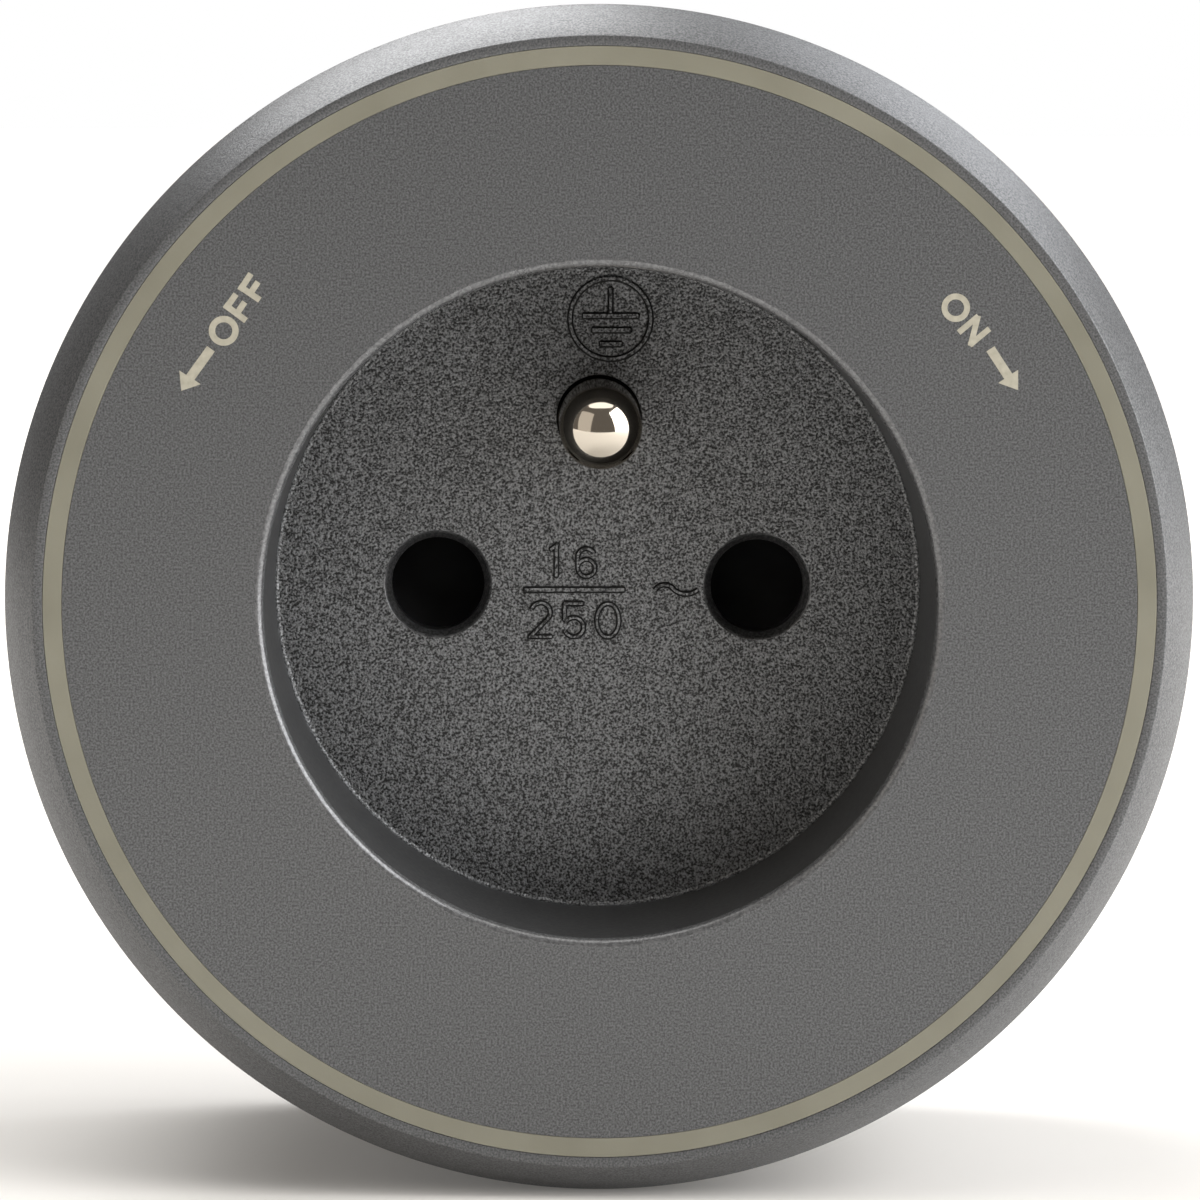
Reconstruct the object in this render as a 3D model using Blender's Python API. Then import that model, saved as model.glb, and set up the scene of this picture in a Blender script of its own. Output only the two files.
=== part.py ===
"""Track socket: a round plug-in socket for a power track, with a type E outlet.

The front faces -Y, +Z is up, and the origin is the centre of the rear seating face.
Depth is counted in metres from the front plane towards the track.
The radii are stacked from the recess outwards, and the depths from the front plane back.
"""
import math

import bmesh
import bpy
from mathutils import Vector

# Gap between pieces that seat on each other
FIT = 0.0003

# Smoothness of round pieces
CASE_STEPS = 72
PIN_STEPS = 24
SCREW_STEPS = 12
BEVEL_STEPS = 4
LIP_STEPS = 4
NOSE_STEPS = 6
EDGE_STEPS = 2
END_STEPS = 8
SHARP_ANGLE = math.radians(35)
MERGE_DISTANCE = 0.000001

# Recess of the outlet and the plug that it takes
RECESS_RADIUS = 0.0192
RECESS_DEPTH = 0.015
RECESS_DRAFT = 0.0002
MOUTH_LIP = 0.0005
CUP_WALL = 0.002
FLOOR_THICKNESS = 0.0025
PIN_PITCH = 0.019
PIN_HOLE_RADIUS = 0.0029
COUNTERSINK = 0.0004
PLUG_PIN_LENGTH = 0.019

# Face disc
FACE_THICKNESS = 0.0022
FACE_RIM_THICKNESS = 0.0011

# Light ring
RING_WIDTH = 0.0011
RING_FLANGE_THICKNESS = 0.0016
RING_SHELF_OVERLAP = 0.0006
LIGHT_ENTRY_WIDTH = 0.0031

# Front housing
RIM_BAND = 0.0003
BEVEL_WIDTH = 0.0018
BEVEL_DEPTH = 0.0032
BEVEL_CROWN = 0.00012
RIM_EDGE_RADIUS = 0.0005
SIDE_DRAFT = 0.0004
CASE_WALL = 0.0013
SHELF_THICKNESS = 0.0016

# Light board
BOARD_THICKNESS = 0.0012
BOARD_CUP_GAP = 0.0013
LED_COUNT = 6
LED_LENGTH = 0.0032
LED_WIDTH = 0.0026
LED_HEIGHT = 0.0013
LED_SHELF_GAP = 0.0004

# Earth pin and its strap
EARTH_PIN_OFFSET = 0.010
EARTH_PIN_RADIUS = 0.0024
EARTH_PIN_LENGTH = 0.014
EARTH_COLLAR_WIDTH = 0.0014
EARTH_COLLAR_THICKNESS = 0.0015
EARTH_RIVET_RADIUS = 0.0018
EARTH_RIVET_HEAD_RADIUS = 0.0027
EARTH_RIVET_CROWN_RADIUS = 0.0022
EARTH_RIVET_HEAD = 0.0008
STRAP_THICKNESS = 0.0008
STRAP_WIDTH = 0.0070
STRAP_TOP_MARGIN = 0.0070
STRAP_LEG_WIDTH = 0.0040

# Shutter, its ramps and its spring
SHUTTER_DEPTH = 0.0062
SHUTTER_LAP = 0.0005
SHUTTER_PAD = 0.0037
SHUTTER_TIP = 0.0010
SHUTTER_BAR_HEIGHT = 0.0026
SHUTTER_BAR_DEPTH = 0.0050
SPRING_LENGTH = 0.0119
SPRING_RADIUS = 0.0018
SPRING_WIRE = 0.0005
SPRING_TURNS = 7
SPRING_CLOSED_TURNS = 2
SPRING_CLOSED_GAP = 0.0001
SPRING_POINTS_PER_TURN = 12
SPIGOT_RADIUS = 0.0011
SPIGOT_LENGTH = 0.0025

# Contact carrier
CARRIER_WALL = 0.0015
CARRIER_PLATE = 0.0016
EAR_RADIUS = 0.0026
EAR_THICKNESS = 0.0020
EAR_HEIGHT = 0.0010
EAR_BOSS_RADIUS = 0.0022

# Contact clips
CLIP_HALF_GAP = 0.00235
CLIP_MOUTH_FLARE = 0.0008
CLIP_THICKNESS = 0.0007
CLIP_WIDTH = 0.0050
CLIP_SPRING_ROOM = 0.0012
TAIL_WIDTH = 0.0028

# Foot: neck, T key, cap and blades
NECK_RADIUS = 0.0052
NECK_LENGTH = 0.008
KEY_HALF_LENGTH = 0.015
KEY_THICKNESS = 0.0061
FOOT_FLANGE_HALF_LENGTH = 0.013
FOOT_FLANGE_RADIUS = 0.0065
FOOT_FLANGE_THICKNESS = 0.0023
CAP_THICKNESS = 0.0016
CAP_CHAMFER = 0.0006
BLADE_THICKNESS = 0.0012
BLADE_WIDTH = 0.0046
BLADE_OFFSET = 0.0023
BLADE_REACH = 0.0020
BLADE_SEAT_DEPTH = 0.0016
EARTH_BLADE_OFFSET = 0.0036
EARTH_BLADE_WIDTH = 0.0038
EARTH_BLADE_THICKNESS = 0.0008
EARTH_BLADE_BOW = 0.0012
EARTH_BLADE_BENDS = 5

# Rear cover
COVER_THICKNESS = 0.0027
COVER_LIP = 0.0015
COVER_RIM_DEPTH = 0.0010
COVER_RIM_WIDTH = 0.0018
COVER_EDGE_RADIUS = 0.0006
COVER_BOSS_DEPTH = 0.0020
COVER_BOSS_RADIUS = 0.0036

# Case screws, their bosses and their heads
CASE_SCREWS = 3
BOSS_RADIUS = 0.003
BOSS_BITE = 0.0005
CASE_SHANK = 0.00125
CASE_HEAD = 0.0026
CASE_HEAD_HEIGHT = 0.0014
CASE_SCREW_LENGTH = 0.009

# Foot screws
FOOT_SHANK = 0.0010
FOOT_HEAD = 0.0022
FOOT_HEAD_HEIGHT = 0.0010
FOOT_SCREW_SPACING = 0.019

# Carrier screws
CARRIER_SHANK = 0.0010
CARRIER_HEAD = 0.0020
CARRIER_HEAD_HEIGHT = 0.0011
CARRIER_SCREW_LENGTH = 0.0058

# Cap screw
CAP_SHANK = 0.00125
CAP_HEAD = 0.0026
CAP_HEAD_HEIGHT = 0.0007
CAP_SCREW_LENGTH = 0.008

# Shape of every screw, and how deep its head sits
SCREW_SINK = 0.0004
HOLE_OVERRUN = 0.001
SCREW_TIP_SHARE = 0.5
HEAD_SIDE_SHARE = 0.6
HEAD_CROWN_SHARE = 0.8

# Radii, stacked from the recess outwards
CUP_RADIUS = RECESS_RADIUS + CUP_WALL
BOSS_CIRCLE = CUP_RADIUS + BOSS_RADIUS - BOSS_BITE
FACE_STEP_RADIUS = BOSS_CIRCLE + BOSS_RADIUS + FIT
RING_FLANGE_INNER = FACE_STEP_RADIUS + FIT
SHELF_INNER = RING_FLANGE_INNER + LIGHT_ENTRY_WIDTH
RING_INNER = SHELF_INNER + RING_SHELF_OVERLAP
RING_OUTER = RING_INNER + RING_WIDTH
FACE_RADIUS = RING_INNER - FIT
RING_SEAT_RADIUS = RING_OUTER + FIT
BEVEL_START = RING_SEAT_RADIUS + RIM_BAND
BODY_RADIUS = BEVEL_START + BEVEL_WIDTH
REAR_RADIUS = BODY_RADIUS - SIDE_DRAFT
BORE_RADIUS = REAR_RADIUS - CASE_WALL
MOUTH_RADIUS = RECESS_RADIUS + RECESS_DRAFT

# Depths, stacked from the front plane towards the track
RING_LEG = FACE_RIM_THICKNESS + FIT
RING_REAR = RING_LEG + RING_FLANGE_THICKNESS
SHELF_FRONT = RING_REAR + FIT
SHELF_REAR = SHELF_FRONT + SHELF_THICKNESS
BOARD_FRONT = SHELF_REAR + FIT
FLOOR_REAR = RECESS_DEPTH + FLOOR_THICKNESS
SHUTTER_FRONT = FLOOR_REAR + FIT
SHUTTER_REAR = SHUTTER_FRONT + SHUTTER_DEPTH
PLATE_FRONT = SHUTTER_REAR + FIT
PLATE_REAR = PLATE_FRONT + CARRIER_PLATE
CLIP_FRONT = PLATE_REAR + FIT
CARRIER_REAR = RECESS_DEPTH + PLUG_PIN_LENGTH
TAIL_FRONT = CARRIER_REAR + FIT
TAIL_REAR = TAIL_FRONT + CLIP_THICKNESS
STRAP_END_FRONT = TAIL_REAR + FIT
STRAP_END_REAR = STRAP_END_FRONT + STRAP_THICKNESS
EARTH_BLADE_FRONT = STRAP_END_REAR + FIT
FOOT_FLANGE_FRONT = EARTH_BLADE_FRONT + FIT
FOOT_FLANGE_REAR = FOOT_FLANGE_FRONT + FOOT_FLANGE_THICKNESS
COVER_FRONT = FOOT_FLANGE_REAR + FIT
BODY_DEPTH = COVER_FRONT + COVER_THICKNESS
COVER_LIP_FRONT = BODY_DEPTH - COVER_LIP
HOUSING_REAR = COVER_LIP_FRONT - FIT
COVER_BOSS_FRONT = COVER_FRONT - COVER_BOSS_DEPTH
CUP_BOSS_REAR = COVER_BOSS_FRONT - FIT
KEY_FRONT = BODY_DEPTH + NECK_LENGTH
KEY_REAR = KEY_FRONT + KEY_THICKNESS
CAP_FRONT = KEY_REAR + FIT
CAP_REAR = CAP_FRONT + CAP_THICKNESS
BLADE_REAR = KEY_REAR - BLADE_SEAT_DEPTH
BLADE_FRONT = BLADE_REAR - BLADE_THICKNESS
CASE_SEAT = BODY_DEPTH - SCREW_SINK - CASE_HEAD_HEIGHT
FOOT_SEAT = BODY_DEPTH - SCREW_SINK - FOOT_HEAD_HEIGHT
CARRIER_SEAT = PLATE_FRONT + FIT
CAP_SEAT = CAP_REAR - CAP_HEAD_HEIGHT

# Heights and widths around the shutter and the contacts
PIN_X = PIN_PITCH / 2
SHUTTER_TOP = PIN_HOLE_RADIUS + SHUTTER_LAP
SHUTTER_BOTTOM = -SHUTTER_TOP - SHUTTER_BAR_HEIGHT
SHUTTER_HALF_WIDTH = PIN_X + SHUTTER_PAD
SPRING_TOP = SHUTTER_BOTTOM - FIT
SPRING_BOTTOM = SPRING_TOP - SPRING_LENGTH
CHANNEL_TOP = SHUTTER_TOP + FIT
CHANNEL_BOTTOM = SPRING_BOTTOM - FIT
CHANNEL_HALF_WIDTH = SHUTTER_HALF_WIDTH + FIT
CARRIER_HALF_WIDTH = CHANNEL_HALF_WIDTH + CARRIER_WALL
BAR_FRONT = SHUTTER_REAR - SHUTTER_BAR_DEPTH
SPRING_DEPTH = (BAR_FRONT + SHUTTER_REAR) / 2
CLIP_OUTER = CLIP_HALF_GAP + CLIP_THICKNESS
POCKET_HALF_HEIGHT = CLIP_OUTER + CLIP_SPRING_ROOM
POCKET_HALF_WIDTH = CLIP_WIDTH / 2 + CLIP_SPRING_ROOM
EAR_X = CARRIER_HALF_WIDTH + EAR_BOSS_RADIUS

# Colours
ANTHRACITE = (0.105, 0.108, 0.115)
BLACK_PLASTIC = (0.02, 0.02, 0.022)
MILKY = (0.42, 0.41, 0.35)
GREY_PLASTIC = (0.22, 0.22, 0.23)
BOARD_WHITE = (0.75, 0.76, 0.74)
BRASS = (0.66, 0.47, 0.20)
COPPER = (0.72, 0.40, 0.25)
NICKEL = (0.62, 0.61, 0.58)
STEEL = (0.50, 0.51, 0.53)


def y_at(depth):
    """World Y of a depth counted from the front plane."""
    return depth - BODY_DEPTH


def arc(centre, radius, start, end, steps):
    """Points of an arc in an outline's own plane, angles in degrees."""
    points = []
    for step in range(steps + 1):
        angle = math.radians(start + (end - start) * step / steps)
        points.append((centre[0] + radius * math.cos(angle), centre[1] + radius * math.sin(angle)))
    return points


def circle(radius, steps, centre=(0, 0)):
    """A closed ring of points, turned by half a step so that none lies straight above the centre."""
    start = 180 / steps
    return arc(centre, radius, start, start + 360, steps)[:-1]


def stadium(half_length, radius):
    """A round-ended bar's outline, upright, as (x, z) points."""
    straight = half_length - radius
    upper_end = arc((0, straight), radius, 0, 180, END_STEPS)
    lower_end = arc((0, -straight), radius, 180, 360, END_STEPS)
    return upper_end + lower_end


def crowned(start, end, crown, steps):
    """Points between two outline points, with the middle raised to the left of the way."""
    start, end = Vector(start), Vector(end)
    way = end - start
    side = Vector((-way.y, way.x)).normalized()
    points = []
    for step in range(steps + 1):
        share = step / steps
        points.append(tuple(start + way * share + side * crown * 4 * share * (1 - share)))
    return points


def finish(mesh, name, colour, roughness, metallic):
    """Turn an edited mesh into a shaded object with its own material."""
    bmesh.ops.recalc_face_normals(mesh, faces=mesh.faces)
    data = bpy.data.meshes.new(name)
    mesh.to_mesh(data)
    mesh.free()
    data.shade_smooth()
    data.set_sharp_from_angle(angle=SHARP_ANGLE)
    piece = bpy.data.objects.new(name, data)
    bpy.context.collection.objects.link(piece)
    material = bpy.data.materials.new(name + "_finish")
    material.use_nodes = True
    shader = material.node_tree.nodes["Principled BSDF"]
    shader.inputs["Base Color"].default_value = (*colour, 1)
    shader.inputs["Roughness"].default_value = roughness
    shader.inputs["Metallic"].default_value = metallic
    data.materials.append(material)
    return piece


def turned(name, outline, look, steps=CASE_STEPS, centre=(0, 0)):
    """Spin an outline of (radius, depth) points about a line parallel to Y."""
    mesh = bmesh.new()
    points = [mesh.verts.new((radius, y_at(depth), 0)) for radius, depth in outline]
    pairs = list(zip(points, points[1:]))
    if outline[0][0] > 0:
        pairs.append((points[-1], points[0]))
    edges = [mesh.edges.new(pair) for pair in pairs]
    bmesh.ops.spin(mesh, geom=points + edges, axis=(0, 1, 0), angle=2 * math.pi, steps=steps)
    bmesh.ops.remove_doubles(mesh, verts=mesh.verts, dist=MERGE_DISTANCE)
    bmesh.ops.translate(mesh, verts=mesh.verts, vec=(centre[0], 0, centre[1]))
    return finish(mesh, name, *look)


def extruded(name, corners, way, look):
    """Fill a closed outline of 3-D corners and extrude it along a vector."""
    mesh = bmesh.new()
    face = mesh.faces.new([mesh.verts.new(corner) for corner in corners])
    extrusion = bmesh.ops.extrude_face_region(mesh, geom=[face])
    moved = [item for item in extrusion["geom"] if isinstance(item, bmesh.types.BMVert)]
    bmesh.ops.translate(mesh, verts=moved, vec=way)
    return finish(mesh, name, *look)


def slab(name, outline, front, rear, look):
    """A plate cut to an (x, z) outline, between two depths."""
    corners = [(x, y_at(front), z) for x, z in outline]
    return extruded(name, corners, (0, rear - front, 0), look)


def bent(name, outline, left, right, look):
    """A folded strip: a (depth, z) outline extruded along X."""
    corners = [(left, y_at(depth), z) for depth, z in outline]
    return extruded(name, corners, (right - left, 0, 0), look)


def block(name, x_range, depth_range, z_range, look):
    """A box between two corners."""
    (left, right), (low, high) = x_range, z_range
    outline = [(left, low), (right, low), (right, high), (left, high)]
    return slab(name, outline, depth_range[0], depth_range[1], look)


def combine(body, tool, operation):
    """Join a tool solid to a body or cut it away, and remove the tool."""
    modifier = body.modifiers.new("combine", "BOOLEAN")
    modifier.operation = operation
    modifier.solver = "EXACT"
    modifier.object = tool
    bpy.context.view_layer.objects.active = body
    bpy.ops.object.modifier_apply(modifier=modifier.name)
    bpy.data.objects.remove(tool)
    body.data.set_sharp_from_angle(angle=SHARP_ANGLE)


def join(body, tool):
    combine(body, tool, "UNION")


def cut(body, tool):
    combine(body, tool, "DIFFERENCE")


def screw_angles():
    """Angles of the case screws, the first one straight up."""
    return [math.radians(90 + 360 * index / CASE_SCREWS) for index in range(CASE_SCREWS)]


def case_screw_places():
    return [(BOSS_CIRCLE * math.cos(a), BOSS_CIRCLE * math.sin(a)) for a in screw_angles()]


def hole(radius, front, rear, centre, steps=SCREW_STEPS):
    """A round cutter or peg along Y."""
    return slab("hole", circle(radius, steps, centre), front, rear, (GREY_PLASTIC, 0.5, 0))


def make_front_housing():
    """Outer shell: bevelled rim, drafted side and the shelf that carries the light ring."""
    bevel = crowned((BEVEL_START, 0), (BODY_RADIUS, BEVEL_DEPTH), -BEVEL_CROWN, BEVEL_STEPS)
    side_start = (BODY_RADIUS, BEVEL_DEPTH + RIM_EDGE_RADIUS)
    rear_edge = arc((REAR_RADIUS - RIM_EDGE_RADIUS, HOUSING_REAR - RIM_EDGE_RADIUS),
                    RIM_EDGE_RADIUS, 0, 90, EDGE_STEPS)
    inside = [
        (BORE_RADIUS, HOUSING_REAR),
        (BORE_RADIUS, SHELF_REAR),
        (SHELF_INNER, SHELF_REAR),
        (SHELF_INNER, SHELF_FRONT),
        (RING_SEAT_RADIUS, SHELF_FRONT),
        (RING_SEAT_RADIUS, 0),
    ]
    outline = bevel + [side_start] + rear_edge + inside
    return turned("front_housing", outline, (ANTHRACITE, 0.42, 0.6))


def make_light_ring():
    """Milky ring with a flat flange that takes in the light of the board."""
    outline = [
        (RING_INNER, 0),
        (RING_OUTER, 0),
        (RING_OUTER, RING_REAR),
        (RING_FLANGE_INNER, RING_REAR),
        (RING_FLANGE_INNER, RING_LEG),
        (RING_INNER, RING_LEG),
    ]
    return turned("light_ring", outline, (MILKY, 0.4, 0))


def make_face_cup():
    """Face disc, recess wall and floor in one moulding, with its screw bosses."""
    lip_centre = (MOUTH_RADIUS + MOUTH_LIP, MOUTH_LIP)
    outline = [(0, RECESS_DEPTH), (RECESS_RADIUS, RECESS_DEPTH)]
    outline += arc(lip_centre, MOUTH_LIP, 180, 270, LIP_STEPS)
    outline += [
        (FACE_RADIUS, 0),
        (FACE_RADIUS, FACE_RIM_THICKNESS),
        (FACE_STEP_RADIUS, FACE_RIM_THICKNESS),
        (FACE_STEP_RADIUS, FACE_THICKNESS),
        (CUP_RADIUS, FACE_THICKNESS),
        (CUP_RADIUS, FLOOR_REAR),
        (0, FLOOR_REAR),
    ]
    look = (ANTHRACITE, 0.5, 0.5)
    cup = turned("face_cup", outline, look)
    for place in case_screw_places():
        join(cup, hole(BOSS_RADIUS, FACE_THICKNESS / 2, CUP_BOSS_REAR, place))
        cut(cup, hole(CASE_SHANK + FIT, CASE_SEAT - CASE_SCREW_LENGTH - HOLE_OVERRUN,
                      BODY_DEPTH, place))
    for side in (-1, 1):
        ear = (side * EAR_X, EAR_HEIGHT)
        ear_front = PLATE_FRONT - EAR_THICKNESS
        join(cup, hole(EAR_BOSS_RADIUS, FLOOR_REAR - FLOOR_THICKNESS / 2, ear_front - FIT, ear))
        cut(cup, hole(CARRIER_SHANK + FIT, CARRIER_SEAT - CARRIER_SCREW_LENGTH - FIT,
                      BODY_DEPTH, ear))
        pin = (side * PIN_X, 0)
        cut(cup, turned("countersunk_hole", [
            (0, RECESS_DEPTH - COUNTERSINK),
            (PIN_HOLE_RADIUS + 2 * COUNTERSINK, RECESS_DEPTH - COUNTERSINK),
            (PIN_HOLE_RADIUS, RECESS_DEPTH + COUNTERSINK),
            (PIN_HOLE_RADIUS, SHUTTER_FRONT),
            (0, SHUTTER_FRONT),
        ], look, PIN_STEPS, pin))
    cut(cup, hole(EARTH_PIN_RADIUS + FIT, 0, BODY_DEPTH, (0, EARTH_PIN_OFFSET), PIN_STEPS))
    return cup


def make_light_board():
    """Ring board under the shelf, notched round the bosses, with its lamps on the front."""
    look = (BOARD_WHITE, 0.5, 0)
    board_rear = BOARD_FRONT + BOARD_THICKNESS
    board = turned("led_board", [
        (CUP_RADIUS + BOARD_CUP_GAP, BOARD_FRONT),
        (BORE_RADIUS - FIT, BOARD_FRONT),
        (BORE_RADIUS - FIT, board_rear),
        (CUP_RADIUS + BOARD_CUP_GAP, board_rear),
    ], look)
    for place in case_screw_places():
        cut(board, hole(BOSS_RADIUS + FIT, FACE_THICKNESS, BODY_DEPTH, place))
    circle_radius = SHELF_INNER - LED_SHELF_GAP - LED_WIDTH / 2
    half_length, half_width = LED_LENGTH / 2, LED_WIDTH / 2
    corner = LED_WIDTH / 4
    chip = [
        (-half_width, -half_length),
        (half_width, -half_length),
        (half_width, half_length - corner),
        (half_width - corner, half_length),
        (-half_width, half_length),
    ]
    for index in range(LED_COUNT):
        angle = 2 * math.pi * index / LED_COUNT
        turn_x, turn_z = math.cos(angle), math.sin(angle)
        outline = []
        for along, across in chip:
            radius = circle_radius + along
            outline.append((radius * turn_x - across * turn_z, radius * turn_z + across * turn_x))
        slab(f"led_{index + 1}", outline, SHELF_REAR - LED_HEIGHT, SHELF_REAR, (MILKY, 0.3, 0))


def make_earth_pin():
    """Turned pin with a ball nose, a collar behind the floor and a riveted end."""
    collar_front = FLOOR_REAR + FIT
    collar_rear = collar_front + EARTH_COLLAR_THICKNESS
    rivet_front = collar_rear + FIT + STRAP_THICKNESS + FIT
    tip = RECESS_DEPTH - EARTH_PIN_LENGTH
    nose = arc((0, tip + EARTH_PIN_RADIUS), EARTH_PIN_RADIUS, -90, 0, NOSE_STEPS)
    nose[0] = (0, tip)
    collar = EARTH_PIN_RADIUS + EARTH_COLLAR_WIDTH
    outline = nose + [
        (EARTH_PIN_RADIUS, collar_front),
        (collar, collar_front),
        (collar, collar_rear),
        (EARTH_RIVET_RADIUS, collar_rear),
        (EARTH_RIVET_RADIUS, rivet_front),
        (EARTH_RIVET_HEAD_RADIUS, rivet_front),
        (EARTH_RIVET_CROWN_RADIUS, rivet_front + EARTH_RIVET_HEAD),
        (0, rivet_front + EARTH_RIVET_HEAD),
    ]
    centre = (0, EARTH_PIN_OFFSET)
    return turned("earth_pin", outline, (NICKEL, 0.15, 1), PIN_STEPS, centre)


def make_earth_strap():
    """Brass strip folded from the earth pin, back past the carrier, to the foot."""
    look = (BRASS, 0.3, 1)
    plate_front = FLOOR_REAR + FIT + EARTH_COLLAR_THICKNESS + FIT
    plate_rear = plate_front + STRAP_THICKNESS
    half = STRAP_WIDTH / 2
    top = EARTH_PIN_OFFSET + STRAP_TOP_MARGIN
    leg_left = EARTH_BLADE_OFFSET - FIT
    leg_right = leg_left + STRAP_LEG_WIDTH
    strap = slab("earth_strap", [
        (-half, EARTH_PIN_OFFSET - half),
        (half, EARTH_PIN_OFFSET - half),
        (half, EARTH_PIN_OFFSET + half),
        (leg_right, EARTH_PIN_OFFSET + half),
        (leg_right, top),
        (-half, top),
    ], plate_front, plate_rear, look)
    join(strap, block("leg", (leg_left, leg_right), (plate_front, STRAP_END_REAR),
                      (top - STRAP_THICKNESS, top), look))
    join(strap, block("end", (leg_left, leg_right), (STRAP_END_FRONT, STRAP_END_REAR),
                      (-EARTH_BLADE_WIDTH / 2 - FIT, top), look))
    cut(strap, hole(EARTH_RIVET_RADIUS + FIT, 0, STRAP_END_FRONT, (0, EARTH_PIN_OFFSET)))
    return strap


def make_shutter():
    """Slider with a ramp in front of each contact: two plug pins push it down together."""
    look = (BLACK_PLASTIC, 0.2, 0)
    half = SHUTTER_HALF_WIDTH
    shutter = block("shutter", (-half, half), (BAR_FRONT, SHUTTER_REAR),
                    (SHUTTER_BOTTOM, -SHUTTER_TOP + FIT), look)
    ramp = [
        (SHUTTER_FRONT, -SHUTTER_TOP),
        (SHUTTER_FRONT, SHUTTER_BOTTOM),
        (SHUTTER_REAR, SHUTTER_BOTTOM),
        (SHUTTER_REAR, SHUTTER_TOP),
        (SHUTTER_REAR - SHUTTER_TIP, SHUTTER_TOP),
    ]
    for side in (-1, 1):
        centre = side * PIN_X
        join(shutter, bent("ramp", ramp, centre - SHUTTER_PAD, centre + SHUTTER_PAD, look))
    spigot_top = SHUTTER_BOTTOM + SPIGOT_LENGTH / 2
    join(shutter, peg(spigot_top, SHUTTER_BOTTOM - SPIGOT_LENGTH, look))
    return shutter


def peg(top, bottom, look):
    """An upright peg on the spring's axis."""
    y = y_at(SPRING_DEPTH)
    corners = [(x, y + across, bottom) for x, across in circle(SPIGOT_RADIUS, SCREW_STEPS)]
    return extruded("peg", corners, (0, 0, top - bottom), look)


def make_shutter_spring():
    """Coil spring, with closed end turns, that pushes the shutter up."""
    curve = bpy.data.curves.new("shutter_spring", "CURVE")
    curve.dimensions = "3D"
    curve.bevel_depth = SPRING_WIRE / 2
    curve.bevel_resolution = 1
    curve.use_fill_caps = True
    steps = SPRING_TURNS * SPRING_POINTS_PER_TURN
    closed_pitch = SPRING_WIRE + SPRING_CLOSED_GAP
    height = SPRING_LENGTH - SPRING_WIRE
    all_free = SPRING_TURNS - SPRING_CLOSED_TURNS
    free_pitch = (height - SPRING_CLOSED_TURNS * closed_pitch) / all_free
    spline = curve.splines.new("POLY")
    spline.points.add(steps)
    for step, point in enumerate(spline.points):
        turn = step / SPRING_POINTS_PER_TURN
        free_turns = min(max(turn - SPRING_CLOSED_TURNS / 2, 0), all_free)
        rise = (turn - free_turns) * closed_pitch + free_turns * free_pitch
        angle = 2 * math.pi * turn
        x = SPRING_RADIUS * math.cos(angle)
        y = y_at(SPRING_DEPTH) + SPRING_RADIUS * math.sin(angle)
        point.co = (x, y, SPRING_BOTTOM + SPRING_WIRE / 2 + rise, 1)
    spring = bpy.data.objects.new("shutter_spring", curve)
    bpy.context.collection.objects.link(spring)
    material = bpy.data.materials.new("shutter_spring_finish")
    material.use_nodes = True
    shader = material.node_tree.nodes["Principled BSDF"]
    shader.inputs["Base Color"].default_value = (*STEEL, 1)
    shader.inputs["Metallic"].default_value = 1
    shader.inputs["Roughness"].default_value = 0.25
    curve.materials.append(material)
    return spring


def make_contact_carrier():
    """Moulding that guides the shutter in front and holds the clips in two rear pockets."""
    look = (GREY_PLASTIC, 0.5, 0)
    half = CARRIER_HALF_WIDTH
    top = CHANNEL_TOP + CARRIER_WALL
    bottom = CHANNEL_BOTTOM - CARRIER_WALL
    carrier = block("contact_carrier", (-half, half), (SHUTTER_FRONT, PLATE_REAR),
                    (bottom, top), look)
    cut(carrier, block("channel", (-CHANNEL_HALF_WIDTH, CHANNEL_HALF_WIDTH),
                       (0, PLATE_FRONT), (CHANNEL_BOTTOM, CHANNEL_TOP), look))
    pocket_top = POCKET_HALF_HEIGHT + CARRIER_WALL
    outer = POCKET_HALF_WIDTH + CARRIER_WALL
    for side in (-1, 1):
        centre = side * PIN_X
        join(carrier, block("pocket", (centre - outer, centre + outer),
                            (PLATE_FRONT, CARRIER_REAR), (-pocket_top, pocket_top), look))
        cut(carrier, block("cavity", (centre - POCKET_HALF_WIDTH, centre + POCKET_HALF_WIDTH),
                           (PLATE_REAR, BODY_DEPTH), (-POCKET_HALF_HEIGHT, POCKET_HALF_HEIGHT),
                           look))
        cut(carrier, hole(PIN_HOLE_RADIUS, 0, BODY_DEPTH, (centre, 0), PIN_STEPS))
        ear = (side * EAR_X, EAR_HEIGHT)
        ear_front = PLATE_FRONT - EAR_THICKNESS
        wall = side * (CHANNEL_HALF_WIDTH + CARRIER_WALL / 2)
        join(carrier, hole(EAR_RADIUS, ear_front, PLATE_FRONT, ear))
        join(carrier, block("web", (min(wall, ear[0]), max(wall, ear[0])),
                            (ear_front, PLATE_FRONT),
                            (EAR_HEIGHT - EAR_RADIUS, EAR_HEIGHT + EAR_RADIUS), look))
        cut(carrier, hole(CARRIER_SHANK + FIT, 0, BODY_DEPTH, ear))
    join(carrier, peg(CHANNEL_BOTTOM + SPIGOT_LENGTH, CHANNEL_BOTTOM - CARRIER_WALL / 2, look))
    return carrier


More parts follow.
